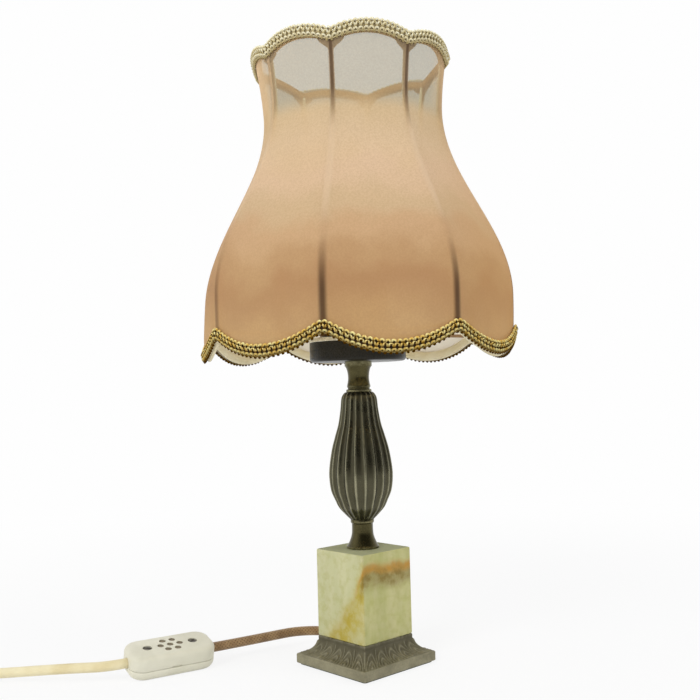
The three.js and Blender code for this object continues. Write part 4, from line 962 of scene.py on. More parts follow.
rings, relief_and_shade = plinth_rings()
plinth = make_piece("plinth", *skin(rings, caps=True)[:2], plinth_metal, "lamp", ["base_plinth"],
                    "plinth_metal")
mark(plinth, "relief_and_shade", relief_and_shade)
felt_green = plastic_finish("felt_green", rgb(52, 64, 46), rgb(70, 82, 60), 0.9, 0.4)
FELT_ROWS = [(29.2, 0.0), (29.5, 0.2), (29.5, 0.85), (29.3, 1.0)]
make_piece("felt", *skin([square_ring(half, z, 1.5) for half, z in FELT_ROWS], caps=True)[:2], felt_green,
           "lamp", ["felt_pad"], "felt")
print("plinth:", len(plinth.data.vertices), "points, relief", RELIEF, "mm deep")

# %% [markdown]
# ## Onyx block
# Green onyx is laid down in sheets, so a coloured vein is a thin sheet through the block and shows on
# every face that it meets. Painting each face would break at the corners. Here the vein is the distance
# from one curved sheet, warped by noise, which lets the same brown band cross the right face and slant
# down the left one. A finer noise breaks the vein up and mottles the stone.

# %% Vein through the onyx
ONYX_HALF = 21.0
VEIN_LOW, VEIN_DROP, VEIN_FADE, VEIN_SLOPE, VEIN_SWAY = 13.5, 49.0, 26, 0.38, 12.0


def vein_sheet(tree, y, z, sway):
    """Height of a place over the vein's sheet, which falls away behind the block's right face."""
    behind = plus(tree, y, ONYX_HALF)
    fall = times(tree, calc(tree, "POWER", math.e, times(tree, behind, -1 / VEIN_FADE)), VEIN_DROP)
    fall = minus(tree, fall, times(tree, behind, VEIN_SLOPE))
    sheet = minus(tree, minus(tree, z, VEIN_LOW), fall)
    return plus(tree, sheet, times(tree, minus(tree, sway, 0.5), VEIN_SWAY))


print("the vein meets the right face", VEIN_LOW + VEIN_DROP, "mm up")

# %% Onyx finish
def onyx_finish():
    finish, tree, shader = new_finish("onyx_green")
    here = place_of(tree)
    x, y, z = parts_of(tree, here)
    sway = grain_noise(tree, here, 0.06, 3.0, 0.5)
    broken = grain_noise(tree, here, 0.2, 5.0, 0.6)
    sheet = vein_sheet(tree, y, z, sway)
    drawn = feed(tree, add(tree, "ShaderNodeVectorMath", operation="MULTIPLY"), Vector=here)
    drawn.inputs[1].default_value = (1.0, 1.0, 0.35)
    stone = use(tree, cloudy, Place=drawn.outputs[0], Scale=0.05, Bite=0.22,
                Low=rgb(168, 168, 106), High=rgb(188, 186, 128))
    milky = use(tree, cloudy, Place=drawn.outputs[0], Scale=0.12, Bite=0.2)["Cloud"]
    colour = blend(tree, times(tree, milky, 0.3), stone["Colour"], rgb(208, 198, 160))
    layers = calc(tree, "SINE", plus(tree, times(tree, sheet, 0.75), times(tree, sway, 9)))
    colour = blend(tree, span(tree, layers, 0.35, 1.0, 0.0, 0.16), colour, rgb(170, 172, 98))
    left_face = span(tree, x, 0.1 - ONYX_HALF, 1.5 - ONYX_HALF, 1.0, 0.0)
    # The left face is painted paler: painted light on that side.
    colour = blend(tree, times(tree, left_face, 0.4), colour, rgb(206, 206, 178))
    colour = blend(tree, span(tree, broken, 0.42, 0.68, 0.0, 0.34), colour, rgb(160, 157, 80))
    warm = times(tree, span(tree, sheet, -38, -4, 0.45, 0.95), span(tree, sheet, -8, 13, 1.0, 0.0))
    warm = times(tree, warm, span(tree, broken, 0.35, 0.65, 0.55, 1.0))
    colour = blend(tree, times(tree, warm, left_face), colour, rgb(176, 156, 46))
    below = times(tree, span(tree, sheet, -16.0, -6.0), span(tree, sheet, -1.0, 3.0, 1.0, 0.0))
    below = times(tree, below, span(tree, y, -20.8, -17.0, 1.0, 0.1))
    below = times(tree, below, span(tree, broken, 0.35, 0.65, 0.55, 0.9))
    colour = blend(tree, below, colour, rgb(124, 100, 34))
    core = times(tree, span(tree, sheet, -4.5, -0.6), span(tree, sheet, 0.0, 5.0, 1.0, 0.0))
    core = times(tree, core, span(tree, y, -20.5, -12, 1.0, 0.12))
    core = times(tree, core, span(tree, broken, 0.35, 0.65, 0.85, 0.4))
    colour = blend(tree, core, colour, rgb(182, 132, 38))
    # The top face is painted greyer as painted shade, and made rougher.
    upward = parts_of(tree, add(tree, "ShaderNodeNewGeometry").outputs["Normal"])[2]
    dull_shaded_top = span(tree, upward, 0.6, 0.95)
    colour = blend(tree, times(tree, dull_shaded_top, 0.85), colour, rgb(150, 153, 122))
    polish = span(tree, milky, 0, 1, 0.28, 0.38)
    feed(tree, shader, Base_Color=colour, Roughness=calc(tree, "MAXIMUM", polish, times(tree, dull_shaded_top, 0.9)))
    shader.inputs["Specular IOR Level"].default_value = 0.3
    shader.inputs["Subsurface Weight"].default_value = 0.12
    shader.inputs["Subsurface Radius"].default_value = (0.004, 0.004, 0.002)
    return finish


green_onyx = onyx_finish()
print("finish:", green_onyx.name)

# %% Onyx block
ONYX_ROWS = [(20.2, 18.0), (20.55, 18.1), (20.85, 18.4), (21, 18.9), (21, 36), (21, 54), (21, 71.1),
             (20.85, 71.6), (20.55, 71.9), (20.2, 72.0)]
onyx = make_piece("onyx", *skin([square_ring(half, z, 0.8, 6) for half, z in ONYX_ROWS], caps=True)[:2],
                  green_onyx, "lamp", ["onyx_block"], "onyx")
keep_flats(onyx)
print("onyx:", len(onyx.data.vertices), "points")

# %% [markdown]
# ## Turned and fluted stem
# The stem is spun brass that has darkened. Its foot and neck are plain turnings, and the bulb between
# them has twenty flutes that narrow with it. A flute is a shallow arc cut into the round, and leaves a
# thin ridge on each side, painted paler, partly as wear and partly as a painted highlight.

# %% Stem
FLUTES, BODY_LOW, BODY_LONG, NECK_R, BULB_R = 20, 90.0, 80.3, 7.4, 20.3
FLUTE_DEEP, PER_FLUTE = 1.5, 12
BODY_OUTLINE = [(0, NECK_R), (0.045, 11.0), (0.095, 14.5), (0.15, 16.65), (0.23, 19.29), (0.33, BULB_R),
                (0.42, 20.0), (0.55, 18.27), (0.66, 15.83), (0.75, 13.7), (0.86, 12.2), (0.95, 11.4),
                (0.985, 10.05), (1, 8.7)]


def flute_dip(angle):
    u = angle * FLUTES / TAU % 1
    return max(0.0, (1 - (2 * u - 1) ** 2 - 0.16) / 0.84)


def fluted_body():
    line = [(p.y, BODY_LOW + BODY_LONG * p.x) for p in smooth_line(BODY_OUTLINE, 104)]
    depth = [FLUTE_DEEP * min(1.0, max(0.0, (r - NECK_R) / (BULB_R - NECK_R) + 0.15)) for r, _ in line]
    sides = FLUTES * PER_FLUTE
    rings = turned([(line[0][0] - 3, line[0][1]), *line, (line[-1][0] - 3, line[-1][1])], sides,
                   lambda a, row, r: r - depth[min(max(row - 1, 0), len(depth) - 1)] * flute_dip(a))
    # The ridges are painted paler: partly wear, partly a painted highlight.
    proud = [1 - ease(flute_dip(TAU * i / sides), 0.0, 0.4) for i in range(sides)]
    return rings, proud * len(rings)


def plain_turning(name, profile, finish, stands_for, slot, body="lamp"):
    piece = make_piece(name, *skin(turned(profile), caps=True)[:2], finish, body, stands_for, slot)
    piece.data.set_sharp_from_angle(angle=math.radians(35))
    return piece


def smooth_outline(points):
    return [(p.x, p.y) for p in smooth_line(points, 24)]


rings, relief_and_shade = fluted_body()
stem = make_piece("stem_fluted", *skin(rings, caps=True)[:2], stem_metal, "lamp", ["stem_body"], "stem_metal")
mark(stem, "relief_and_shade", relief_and_shade)
flare = [(6.7 + 2.975 * (1 - t / 5) ** 1.8, 72 + 18 * (0.1 + 0.1 * t)) for t in range(1, 6)]
waist = smooth_outline([(9.675, 73.8), *flare, (6.65, 86), (6.7, 87.4)])
plain_turning("stem_foot_turned", [(9.9, 72), (10.2, 72.2), (10.2, 73.2), (9.95, 73.5), *waist, (7.2, 87.9),
                                   (7.4, 88.3), (7.4, 89.7), (7.2, 90)],
              turned_brass, ["stem_foot"], "stem_metal")
hip = smooth_outline([(7.35, 174.7), (6.9, 177), (6.7, 179.6), (6.95, 182.6), (7.5, 185), (8.15, 186.3)])
plain_turning("stem_neck_turned", [(7.9, 170.3), (8.1, 170.5), (8.1, 171.7), (7.8, 171.95), (7.0, 172.2),
                                   (7.0, 173.1), (7.4, 173.3), (7.45, 174.3), *hip, (8.6, 186.7),
                                   (8.7, 187.1), (8.7, 189.7)], turned_brass, ["stem_neck"], "stem_metal")
print("stem:", len(stem.data.vertices), "points in", FLUTES, "flutes")

# %% [markdown]
# ## Dish, holder and bulb
# A black enamelled dish with a pale rolled rim hides the lampholder under the shade, and the bulb stands
# in the holder. All are turned, so each is one outline carried round; the dish's outline closes on
# itself, since it is a thin wall.

# %% Dish and bulb
def spun(name, outline, finish, stands_for, slot):
    piece = make_piece(name, *skin(turned(outline, 96), along=True)[:2], finish, "lamp", stands_for, slot)
    piece.data.set_sharp_from_angle(angle=math.radians(30))
    return piece


GLASS_R, GLASS_Z, THREAD_LOW, THREAD_LONG = 30, 286.7, 219.6, 18.6
enamel = plastic_finish("dish_enamel", rgb(24, 22, 15), rgb(36, 33, 24), 0.3, 0.03)
enamel.node_tree.nodes["Principled BSDF"].inputs["Specular IOR Level"].default_value = 0.2
rim_metal = metal_finish("rim_pale_brass", rgb(150, 138, 110), rgb(214, 204, 176), rgb(236, 228, 204),
                         0.45, 0.3, marked=False)
dish = spun("dish", [(5.4, 189.7), (28.7, 189.7), (29.5, 189.9), (30.2, 190.5), (30.6, 191.2), (30.7, 192),
                     (30.7, 202.1), (29.5, 202.1), (29.5, 192), (28.7, 191.2), (5.4, 191.2)],
            enamel, ["drip_dish"], "dish_black")
rim = spun("dish_roll", [(29.2, 202.1), (30.8, 202.1), (31, 202.4), (31, 203.6), (30.85, 204.1),
                         (30.5, 204.45), (30, 204.6), (29.5, 204.5), (29.2, 204.2)],
           rim_metal, ["dish_rim"], "rim_brass")
pearl = plastic_finish("bulb_pearl_glass", rgb(236, 235, 228), rgb(246, 246, 242), 0.2, 0.02)
bulb_neck = smooth_outline([(12.7, 238.7), (12.9, 243), (13.3, 248.1), (15.4, 254.5), (18.8, 261.3),
                            (22.5, 266.6), (25.6, 270.9)])
bulb_round = [(GLASS_R * math.cos(a), GLASS_Z + GLASS_R * math.sin(a))
              for a in (-0.45 + (math.pi / 2 + 0.43) * k / 28 for k in range(29))]
glass = plain_turning("bulb_envelope", bulb_neck + bulb_round, pearl, ["bulb_glass"], "bulb_glass", "bulb")
thread = [(13.1 - 0.55 * (0.5 - 0.5 * math.cos(TAU * k / 8)), THREAD_LOW + THREAD_LONG * k / 40)
          for k in range(41)]
cap_metal = metal_finish("bulb_cap_metal", rgb(120, 116, 104), rgb(186, 182, 170), rgb(220, 218, 208),
                         0.9, 0.3, marked=False)
plain_turning("bulb_cap_threaded", [(4, 213.7), (4.5, 215.1), (11.9, 217.6), (12.8, 218.6), *thread,
                                    (13.1, 238.7)], cap_metal, ["bulb_cap"], "bulb_metal", "bulb")
print("points: dish", len(dish.data.vertices), "rim", len(rim.data.vertices), "bulb", len(glass.data.vertices))

# %% [markdown]
# ## Shape of the shade
# Eight bent wires run from a scalloped bottom ring through a narrow waist to a flared top ring, and a
# thin stretch cloth is pulled over them. Between two wires the cloth takes the short way, so a panel is
# flatter than a circle. One function of angle and height gives that surface, and the cloth, the braids
# and the wires all follow it.

# %% Shade surface
RIBS, RIB_TURN, SHADE_Z, SHADE_HIGH = 8, math.radians(-9.3), 204.35, 176.8
HIP, WAIST, TOP, RIM_TUCK = (24.0, 98.5), (142.0, 58.0), 61.5, 0.6
BOTTOM_DROP, TOP_RISE, SOFT_PEAK = 12.5, 5.0, 0.1


def rib_radius(h):
    if h <= HIP[0]:
        return HIP[1] - RIM_TUCK * ((HIP[0] - h) / HIP[0]) ** 2
    if h >= WAIST[0]:
        return WAIST[1] + (TOP - WAIST[1]) * ((h - WAIST[0]) / (SHADE_HIGH - WAIST[0])) ** 1.6
    return WAIST[1] + (HIP[1] - WAIST[1]) * 0.5 * (1 + math.cos(math.pi * (h - HIP[0]) / (WAIST[0] - HIP[0])))


def cover_radius(angle, h):
    panel = TAU / RIBS
    local = (angle - RIB_TURN) % panel - panel / 2
    flat = math.cos(panel / 2) / math.cos(local)
    pull = 0.2 + 0.6 * math.sin(math.pi * min(1.0, max(0.0, h / SHADE_HIGH)))
    return rib_radius(h) * (1 - pull * (1 - flat))


def scallop(angle):
    x = abs(2 * ((angle - RIB_TURN) * RIBS / TAU % 1) - 1)
    return 1 - x * x + SOFT_PEAK * max(0.0, (x - 1 + SOFT_PEAK) / SOFT_PEAK) ** 2


def bottom_edge(angle):
    return -BOTTOM_DROP * scallop(angle)


def top_edge(angle):
    return SHADE_HIGH + TOP_RISE * scallop(angle)


def on_shade(angle, h, offset=0.0):
    r = cover_radius(angle, h) + offset
    return Vector((r * math.cos(angle), r * math.sin(angle), SHADE_Z + h)) * MM


print("shade: radius", rib_radius(0), "at the bottom,", rib_radius(WAIST[0]), "at the waist,",
      rib_radius(SHADE_HIGH), "at the top")

# %% [markdown]
# ## Cloth
# The cloth is a sheer knit: against the light it is greyish, and where two layers lie behind each other
# it turns to warm tan. So it is partly transparent, with some light passing through it as glow, and near
# the top, where it is thin, what lies behind it shows dimmed. Seen aslant its threads close up. Along
# each wire a line is painted on the outer side: painted shade at both ends and a painted highlight
# between. Its inner side is painted near white as light inside the shade, and one side a deeper tan as
# shade. Real gaps between the threads would need millions of holes, so the threads only vary how much
# shows through.

# %% Tone of the cloth
CLOTH_TONES = [(-6, None), (22, rgb(186, 143, 101)), (38, rgb(196, 157, 115)), (56, rgb(212, 175, 136)),
               (73, rgb(218, 190, 153)), (92, rgb(231, 201, 169)), (112, rgb(231, 203, 168)),
               (138, rgb(227, 198, 156)), (150, rgb(226, 197, 158))]
# The side of the shade that is painted a deeper tan, as painted shade.
SHADED_SIDE = (0.72, -0.69, 0.0)


def cloth_tone(tree, here, height):
    """Colour by height, drifting with a mottle, with a speckle and a deeper tan painted on one side as shade.
    """
    mottle = use(tree, cloudy, Place=here, Scale=0.02, Bite=0.25)["Cloud"]
    drift = times(tree, minus(tree, mottle, 0.5), span(tree, height, 90, 130, 22, 0))
    drift = plus(tree, height, drift)
    tan = rgb(206, 166, 116)
    for (start, _), (end, shade) in zip(CLOTH_TONES, CLOTH_TONES[1:]):
        tan = blend(tree, span(tree, drift, start, end), tan, shade)
    fuzz = use(tree, grainy, Place=here, Scale=0.9)
    colour = blend(tree, times(tree, mottle, 0.22), tan, rgb(206, 172, 118))
    colour = blend(tree, times(tree, fuzz["Speckle"], 0.2), colour, rgb(170, 128, 84))
    # Painted shade: a deeper tan on one side.
    shaded_side = along_way(tree, here, SHADED_SIDE)
    return blend(tree, span(tree, shaded_side, 35, 100, 0.0, 0.4), colour, rgb(206, 152, 82))


print("cloth tones from", CLOTH_TONES[0][0], "to", CLOTH_TONES[-1][0], "mm up the shade")

# %% Rib lines and cover
def rib_marks(tree, colour, height, aside, rib_shade_side, inner):
    """Painted lines along the wires on the outer side only: painted shade at the top and low down, a painted
    highlight between.
    """
    # Painted highlight along the wires at mid height.
    pale = times(tree, span(tree, height, 56, 78), span(tree, height, 112, 134, 0.3, 0.0))
    pale = times(tree, span(tree, aside, 0.4, 3.2, 1.0, 0.0), pale)
    colour = blend(tree, pale, colour, rgb(255, 230, 196))
    # Painted shade along the wires at the top and low down, strongest on one side.
    at_top = times(tree, span(tree, height, 118, 148), rib_shade_side)
    at_top = times(tree, span(tree, aside, 0.5, 2.2, 1.0, 0.0), at_top)
    low_down = times(tree, span(tree, aside, 0.5, 3.4, 1.0, 0.0), span(tree, height, 20, 56, 1.0, 0.0))
    low_down = times(tree, calc(tree, "MAXIMUM", rib_shade_side, 0.55), low_down)
    rib_shade = times(tree, calc(tree, "MAXIMUM", at_top, low_down), minus(tree, 0.85, times(tree, inner, 0.85)))
    return blend(tree, rib_shade, colour, rgb(72, 48, 30))


def cloth_share(tree, height, aside, threads):
    """How much the cloth hides of what lies behind it."""
    aslant = span(tree, add(tree, "ShaderNodeLayerWeight").outputs["Facing"], 0.5, 0.85)
    aslant = times(tree, aslant, span(tree, height, 130, 146))
    thin = span(tree, height, 128, 147)
    cover = times(tree, span(tree, thin, 0, 1, 1.0, 0.55), span(tree, height, 98, 138, 1.0, 0.9))
    cover = calc(tree, "MINIMUM", cover, span(tree, height, -8, 40, 0.94, 1.0))
    cover = plus(tree, cover, times(tree, aslant, 0.5))
    cover = calc(tree, "MAXIMUM", cover, span(tree, aside, 0.9, 2.8, 0.97, 0.0))
    gaps = times(tree, threads["Open"], span(tree, thin, 0, 1, 0.015, 0.08))
    return minus(tree, cover, gaps, clamp=True)


print("rib lines and cover ready")

# %% Cloth finish
# The first direction is the side on which the wires' painted shade is strongest.
RIB_SHADE_SIDE, GORE_WIDE, KNIT_PITCH = (-0.545, -0.839, 0.0), 60.0, 0.75


def cloth_finish():
    finish, tree, shader = new_finish("shade_sheer_cloth")
    here = place_of(tree)
    x, y, z = parts_of(tree, here)
    height = minus(tree, z, SHADE_Z)
    across = calc(tree, "SQRT", plus(tree, calc(tree, "POWER", x, 2.0), calc(tree, "POWER", y, 2.0)))
    gores = parts_of(tree, place_of(tree, "UV", 1.0))[0]
    stitch = feed(tree, add(tree, "ShaderNodeCombineXYZ"), X=times(tree, gores, GORE_WIDE), Y=height)
    threads = use(tree, woven, Place=stitch.outputs[0], Pitch=KNIT_PITCH)
    aside = calc(tree, "ABSOLUTE", minus(tree, gores, calc(tree, "ROUND", gores)))
    aside = times(tree, aside, times(tree, across, TAU / RIBS))
    rib_shade_side = calc(tree, "DIVIDE", along_way(tree, here, RIB_SHADE_SIDE), across)
    rib_shade_side = span(tree, rib_shade_side, 0.45, 0.85, 0.2, 1.0)
    inner = add(tree, "ShaderNodeNewGeometry").outputs["Backfacing"]
    # The inner side is painted near white: painted light inside the shade.
    colour = blend(tree, times(tree, inner, 0.95), cloth_tone(tree, here, height), rgb(252, 244, 228))
    colour = rib_marks(tree, colour, height, aside, rib_shade_side, inner)
    feed(tree, shader, Base_Color=colour)
    shader.inputs["Roughness"].default_value = 0.9
    shader.inputs["Sheen Weight"].default_value = 0.35
    shader.inputs["Sheen Roughness"].default_value = 0.35
    shader.inputs["Sheen Tint"].default_value = (*rgb(246, 206, 160), 1)
    bump(tree, shader, threads["Height"], 0.0002, 0.35)
    glow = feed(tree, add(tree, "ShaderNodeBsdfTranslucent"), Color=colour)
    seen_through = feed(tree, add(tree, "ShaderNodeBsdfTransparent"), Color=(*rgb(182, 199, 202), 1))
    cloth_body = mix_shaders(tree, 0.3, shader, glow)
    show(tree, mix_shaders(tree, cloth_share(tree, height, aside, threads), seen_through, cloth_body))
    return finish


sheer_cloth = cloth_finish()
print("finish:", sheer_cloth.name)

# %% Cloth on the frame
def cloth_cover():
    columns, rows = RIBS * 18, 84
    angles = [RIB_TURN + TAU * i / columns for i in range(columns)]

    def slack(a, t):
        return 0.4 + 0.25 * noise.noise(Vector((4 * math.cos(a), 4 * math.sin(a), 5 * t)))

    rings = []
    for t in (j / rows for j in range(rows + 1)):
        rings.append([on_shade(a, bottom_edge(a) + (top_edge(a) - bottom_edge(a)) * t, slack(a, t))
                      for a in angles])
    return skin(rings, u=[RIBS * i / columns for i in range(columns + 1)])


points, faces, corners = cloth_cover()
cloth = make_piece("shade_cloth", points, faces, sheer_cloth, "shade", ["shade_cover"], "shade_cloth",
                   corners, outward=False)

# %% [markdown]
# ## Wires, tape and rolled binding
# The rib wires are steel in a brown lacquer, and a pale tape is sewn along their inner side. Each rim is
# rolled in a binding over its ring, cream at the bottom and browned at the top. They all follow the
# shade's surface a little way in, so they are made from the same function.

# %% Lacquer and tape finishes
def wire_finish():
    finish, tree, shader = new_finish("frame_lacquer")
    here = place_of(tree)
    tone = use(tree, cloudy, Place=here, Scale=0.2, Bite=0.25, Low=rgb(140, 108, 72), High=rgb(166, 132, 92))
    feed(tree, shader, Base_Color=tone["Colour"], Roughness=span(tree, tone["Cloud"], 0, 1, 0.5, 0.35))
    shader.inputs["Metallic"].default_value = 0.2
    return finish


def tape_finish(name, low, high):
    finish, tree, shader = new_finish(name)
    here = place_of(tree)
    tone = use(tree, cloudy, Place=here, Scale=0.08, Bite=0.25, Low=low, High=high)
    threads = use(tree, woven, Place=place_of(tree, "UV", 1.0), Pitch=0.6)
    gaps = times(tree, threads["Open"], 0.3)
    feed(tree, shader, Base_Color=blend(tree, gaps, tone["Colour"], tuple(c * 0.55 for c in low)))
    shader.inputs["Roughness"].default_value = 0.8
    shader.inputs["Sheen Weight"].default_value = 0.2
    bump(tree, shader, threads["Height"], 0.0002, 0.6)
    return finish


lacquer = wire_finish()
cream_tape = tape_finish("binding_cream", rgb(236, 221, 178), rgb(248, 237, 202))
tan_tape = tape_finish("binding_browned", rgb(180, 124, 56), rgb(200, 146, 76))
print("finishes:", lacquer.name, cream_tape.name, tan_tape.name)

# %% Rib wires and tape
WIRE_IN, WIRE_R, TAPE_IN, TAPE_R, RIB_STEPS = -1.55, 1.1, -2.35, 1.0, 44


def rib_path(k, offset, from_ends):
    a, long = RIB_TURN + k * TAU / RIBS, SHADE_HIGH - 2 * from_ends
    return [on_shade(a, from_ends + long * i / RIB_STEPS, offset) for i in range(RIB_STEPS + 1)]


for k in range(RIBS):
    make_piece(f"rib_wire_{k + 1}", *tube(rib_path(k, WIRE_IN, 1.5), WIRE_R * MM, 12)[:2], lacquer, "shade",
               [f"frame_rib_{k + 1}"], "frame_wire")
tapes = together(*[tube(rib_path(k, TAPE_IN, 4), TAPE_R * MM, 8) for k in range(RIBS)])
rib_tape = make_piece("rib_tape", tapes[0], tapes[1], cream_tape, "shade", (), "binding", tapes[2])
print("rib tape:", len(rib_tape.data.vertices), "points on", RIBS, "wires")

# %% Rolled bindings
ROLL_OUT, ROLL_DEEP, ROLL_SIDES = -1.95, 1.75, 14


def rim_roll(edge, base, high):
    columns = RIBS * 24
    turns = [TAU * s / ROLL_SIDES for s in range(ROLL_SIDES)]
    rings = []
    for a in (RIB_TURN + TAU * i / columns for i in range(columns)):
        rings.append([on_shade(a, edge(a) + base + high * (0.5 - 0.5 * math.sin(b)),
                               ROLL_OUT + ROLL_DEEP * math.cos(b)) for b in turns])
    return skin(rings, along=True, u=[s * 1.2 for s in range(ROLL_SIDES + 1)],
                v=[TAU * 80 * i / columns for i in range(columns + 1)])


for name, edge, base, high, tape, node in (
        ("bottom_roll", bottom_edge, -0.6, 6.4, cream_tape, "bottom_binding"),
        ("top_roll", top_edge, -5.8, 4.6, tan_tape, "top_binding")):
    points, faces, corners = rim_roll(edge, base, high)
    make_piece(name, points, faces, tape, "shade", [node], "binding", corners)
print("frame:", RIBS, "ribs, tape", len(rib_tape.data.vertices), "points")

# %% [markdown]
# Where the cloth is tied to the top of a rib, brown thread is drawn together in a small fan that shows
# through as a dark patch. It could be painted on the cloth, but it lies behind it and shows from inside
# too, so each fan is a thin piece that follows the same surface.

# %% Thread gathered at the rib tops
FAN_LOW, FAN_LONG, FAN_ROWS, FAN_NARROW, FAN_WIDER = 5.2, 9, 6, 1.2, 6.6
FAN_SECTION = [(-1, -0.75), (-0.4, -0.75), (0.4, -0.75), (1, -0.75), (1, -0.15),
               (0.4, 0.1), (-0.4, 0.1), (-1, -0.15)]


def gathered_thread(k):
    """A small fan of brown thread where the cloth is tied to the top of one rib, just behind the cloth."""
    a = RIB_TURN + k * TAU / RIBS
    rings = []
    for t in (j / FAN_ROWS for j in range(FAN_ROWS + 1)):
        ragged = 1 + 0.35 * noise.noise(Vector((k * 3.1, 7 * t, 0.5)))
        turn = (FAN_NARROW + FAN_WIDER * (1 - ease(t, 0.3, 0.62))) * ragged / TOP
        rings.append([on_shade(a + turn * s, top_edge(a + turn * s) - FAN_LOW - FAN_LONG * t, o)
                      for s, o in FAN_SECTION])
    return skin(rings, caps=True)


brown_thread = tape_finish("gathered_brown_thread", rgb(108, 88, 64), rgb(132, 110, 83))
fans = together(*[gathered_thread(k) for k in range(RIBS)])
make_piece("gathered_thread", fans[0], fans[1], brown_thread, "shade", (), "binding", fans[2])
print("thread: one fan at each of", RIBS, "ribs")

# %% [markdown]
# ## Gold braid
# The braid is a round gimp: gold yarn looped over a dark core in rows of small arches, each row half a
# stitch aside of the next. A texture could only paint this, and at this size the crowns of the arches
# catch the light one by one, so each is a bent piece of yarn. The rows lie on a rounded back. The legs of
# the arches, the lowest row and the edging are painted darker, as painted shade.

# %% Gold finish
def gold_finish(name, dark, low, high):
    finish, tree, shader = new_finish(name)
    here = place_of(tree)
    tone = use(tree, cloudy, Place=here, Scale=0.35, Bite=0.2, Low=low, High=high)
    twist = use(tree, laid, Place=place_of(tree, "UV", 1.0), Ridges=2.0, Pitch=0.6)["Height"]
    crown = add(tree, "ShaderNodeAttribute", attribute_name="crown").outputs["Fac"]
    # The legs of each arch are painted dark and its crown light: painted shade and painted light.
    lit = times(tree, span(tree, crown, 0.1, 0.95), span(tree, twist, 0.0, 0.6, 0.7, 1.0))
    colour = blend(tree, lit, dark, tone["Colour"])
    feed(tree, shader, Base_Color=colour, Roughness=span(tree, tone["Cloud"], 0, 1, 0.45, 0.32))
    shader.inputs["Specular IOR Level"].default_value = 0.0
    bump(tree, shader, twist, 0.00015, 0.7)
    return finish


BRAID_FINISHES = {
    "bottom": (gold_finish("braid_gold", rgb(78, 50, 2), rgb(228, 182, 76), rgb(255, 245, 174)),
               tape_finish("braid_backing", rgb(44, 27, 4), rgb(62, 40, 10))),
    "top": (gold_finish("braid_pale_gold", rgb(178, 162, 116), rgb(240, 228, 184), rgb(255, 253, 230)),
            tape_finish("braid_pale_backing", rgb(158, 142, 102), rgb(182, 166, 126)))}
print("braid finishes:", [finish.name for pair in BRAID_FINISHES.values() for finish in pair])

# %% Line and back of the braid
BRAID_HIGH, YARN, FINE_STEPS = 7.8, 0.62, 720


def even_angles(edge, count):
    """Angles round the shade that divide the line of one of its edges into equal steps."""
    fine = [RIB_TURN + TAU * i / FINE_STEPS for i in range(FINE_STEPS + 1)]
    lengths = run_length([on_shade(a, edge(a), 2) for a in fine])
    out, k = [], 0
    for i in range(count):
        goal = lengths[-1] * i / count
        while lengths[k + 1] < goal:
            k += 1
        out.append(fine[k] + TAU / FINE_STEPS * (goal - lengths[k]) / (lengths[k + 1] - lengths[k]))
    return out, lengths[-1]


def braid_back(angle, edge, base, around, lift=0.0):
    """A point on the rounded back of the braid: around is 90 at its upper edge and -90 at its lower one."""
    b = math.radians(around)
    return on_shade(angle, edge(angle) + base + BRAID_HIGH / 2 + (BRAID_HIGH / 2 - YARN + lift) * math.sin(b),
                    0.75 + (1.4 + lift) * math.cos(b))


print("braid line at the bottom:", round(even_angles(bottom_edge, 2)[1], 3), "m")

# %% Arches of yarn
STITCH, ARCH_WIDE, ARCH_HIGH, ARCH_STEPS, YARN_SIDES = 3.25, 1.45, 2.3, 10, 6
# The lowest row and the edging are painted darker: painted shade.
BRAID_ROWS, ROW_LIGHT = (58, 12, -36), (1.0, 0.95, 0.7)
EDGING_STEPS, EDGING_R, EDGING_LIGHT = 320, 0.55, 0.35


def arch_turn(k):
    return math.pi * (-0.1 + 1.2 * k / (ARCH_STEPS - 1))


def yarn_arch(angle, edge, base, row, sway):
    crown = braid_back(angle, edge, base, row)
    along = (braid_back(angle + 0.004, edge, base, row) - crown).normalized()
    up = (braid_back(angle, edge, base, row + 5) - braid_back(angle, edge, base, row - 5)).normalized()
    out = along.cross(up)
    path = []
    for k in range(ARCH_STEPS):
        b = arch_turn(k)
        rise = math.sin(b)
        path.append(crown + (along * (ARCH_WIDE + 0.12 * sway) * math.cos(b) + up * (ARCH_HIGH * (rise - 0.8))
                             + out * (0.55 * rise - 0.25 + 0.2 * sway * math.cos(b))) * MM)
    return tube(path, YARN * MM, YARN_SIDES)


def braid_loops(edge, base):
    count = round(even_angles(edge, 2)[1] / MM / STITCH)
    angles, _ = even_angles(edge, count)
    parts, crown = [], []
    for r, row in enumerate(BRAID_ROWS):
        for i, a in enumerate(angles):
            sway = noise.noise(Vector((i * 1.7, r * 9.1, base)))
            parts.append(yarn_arch(a + (r % 2) * TAU / count / 2, edge, base, row + 5 * sway, sway))
            crown += [ROW_LIGHT[r] * max(0.0, math.sin(arch_turn(k)))
                      for k in range(ARCH_STEPS) for _ in range(YARN_SIDES)]
    edging = [braid_back(a, edge, base, -72) for a in even_angles(edge, EDGING_STEPS)[0]]
    parts.append(tube(edging, EDGING_R * MM, YARN_SIDES, closed=True))
    crown += [EDGING_LIGHT] * len(parts[-1][0])
    return together(*parts), crown


print("stitches along the bottom:", round(even_angles(bottom_edge, 2)[1] / MM / STITCH))

# %% Braids on the rims
def braid_core(edge, base):
    columns = RIBS * 30
    angles = [RIB_TURN + TAU * i / columns for i in range(columns)]
    return skin([[braid_back(a, edge, base, b, -0.55) for b in range(-90, 91, 20)] for a in angles],
                along=True)


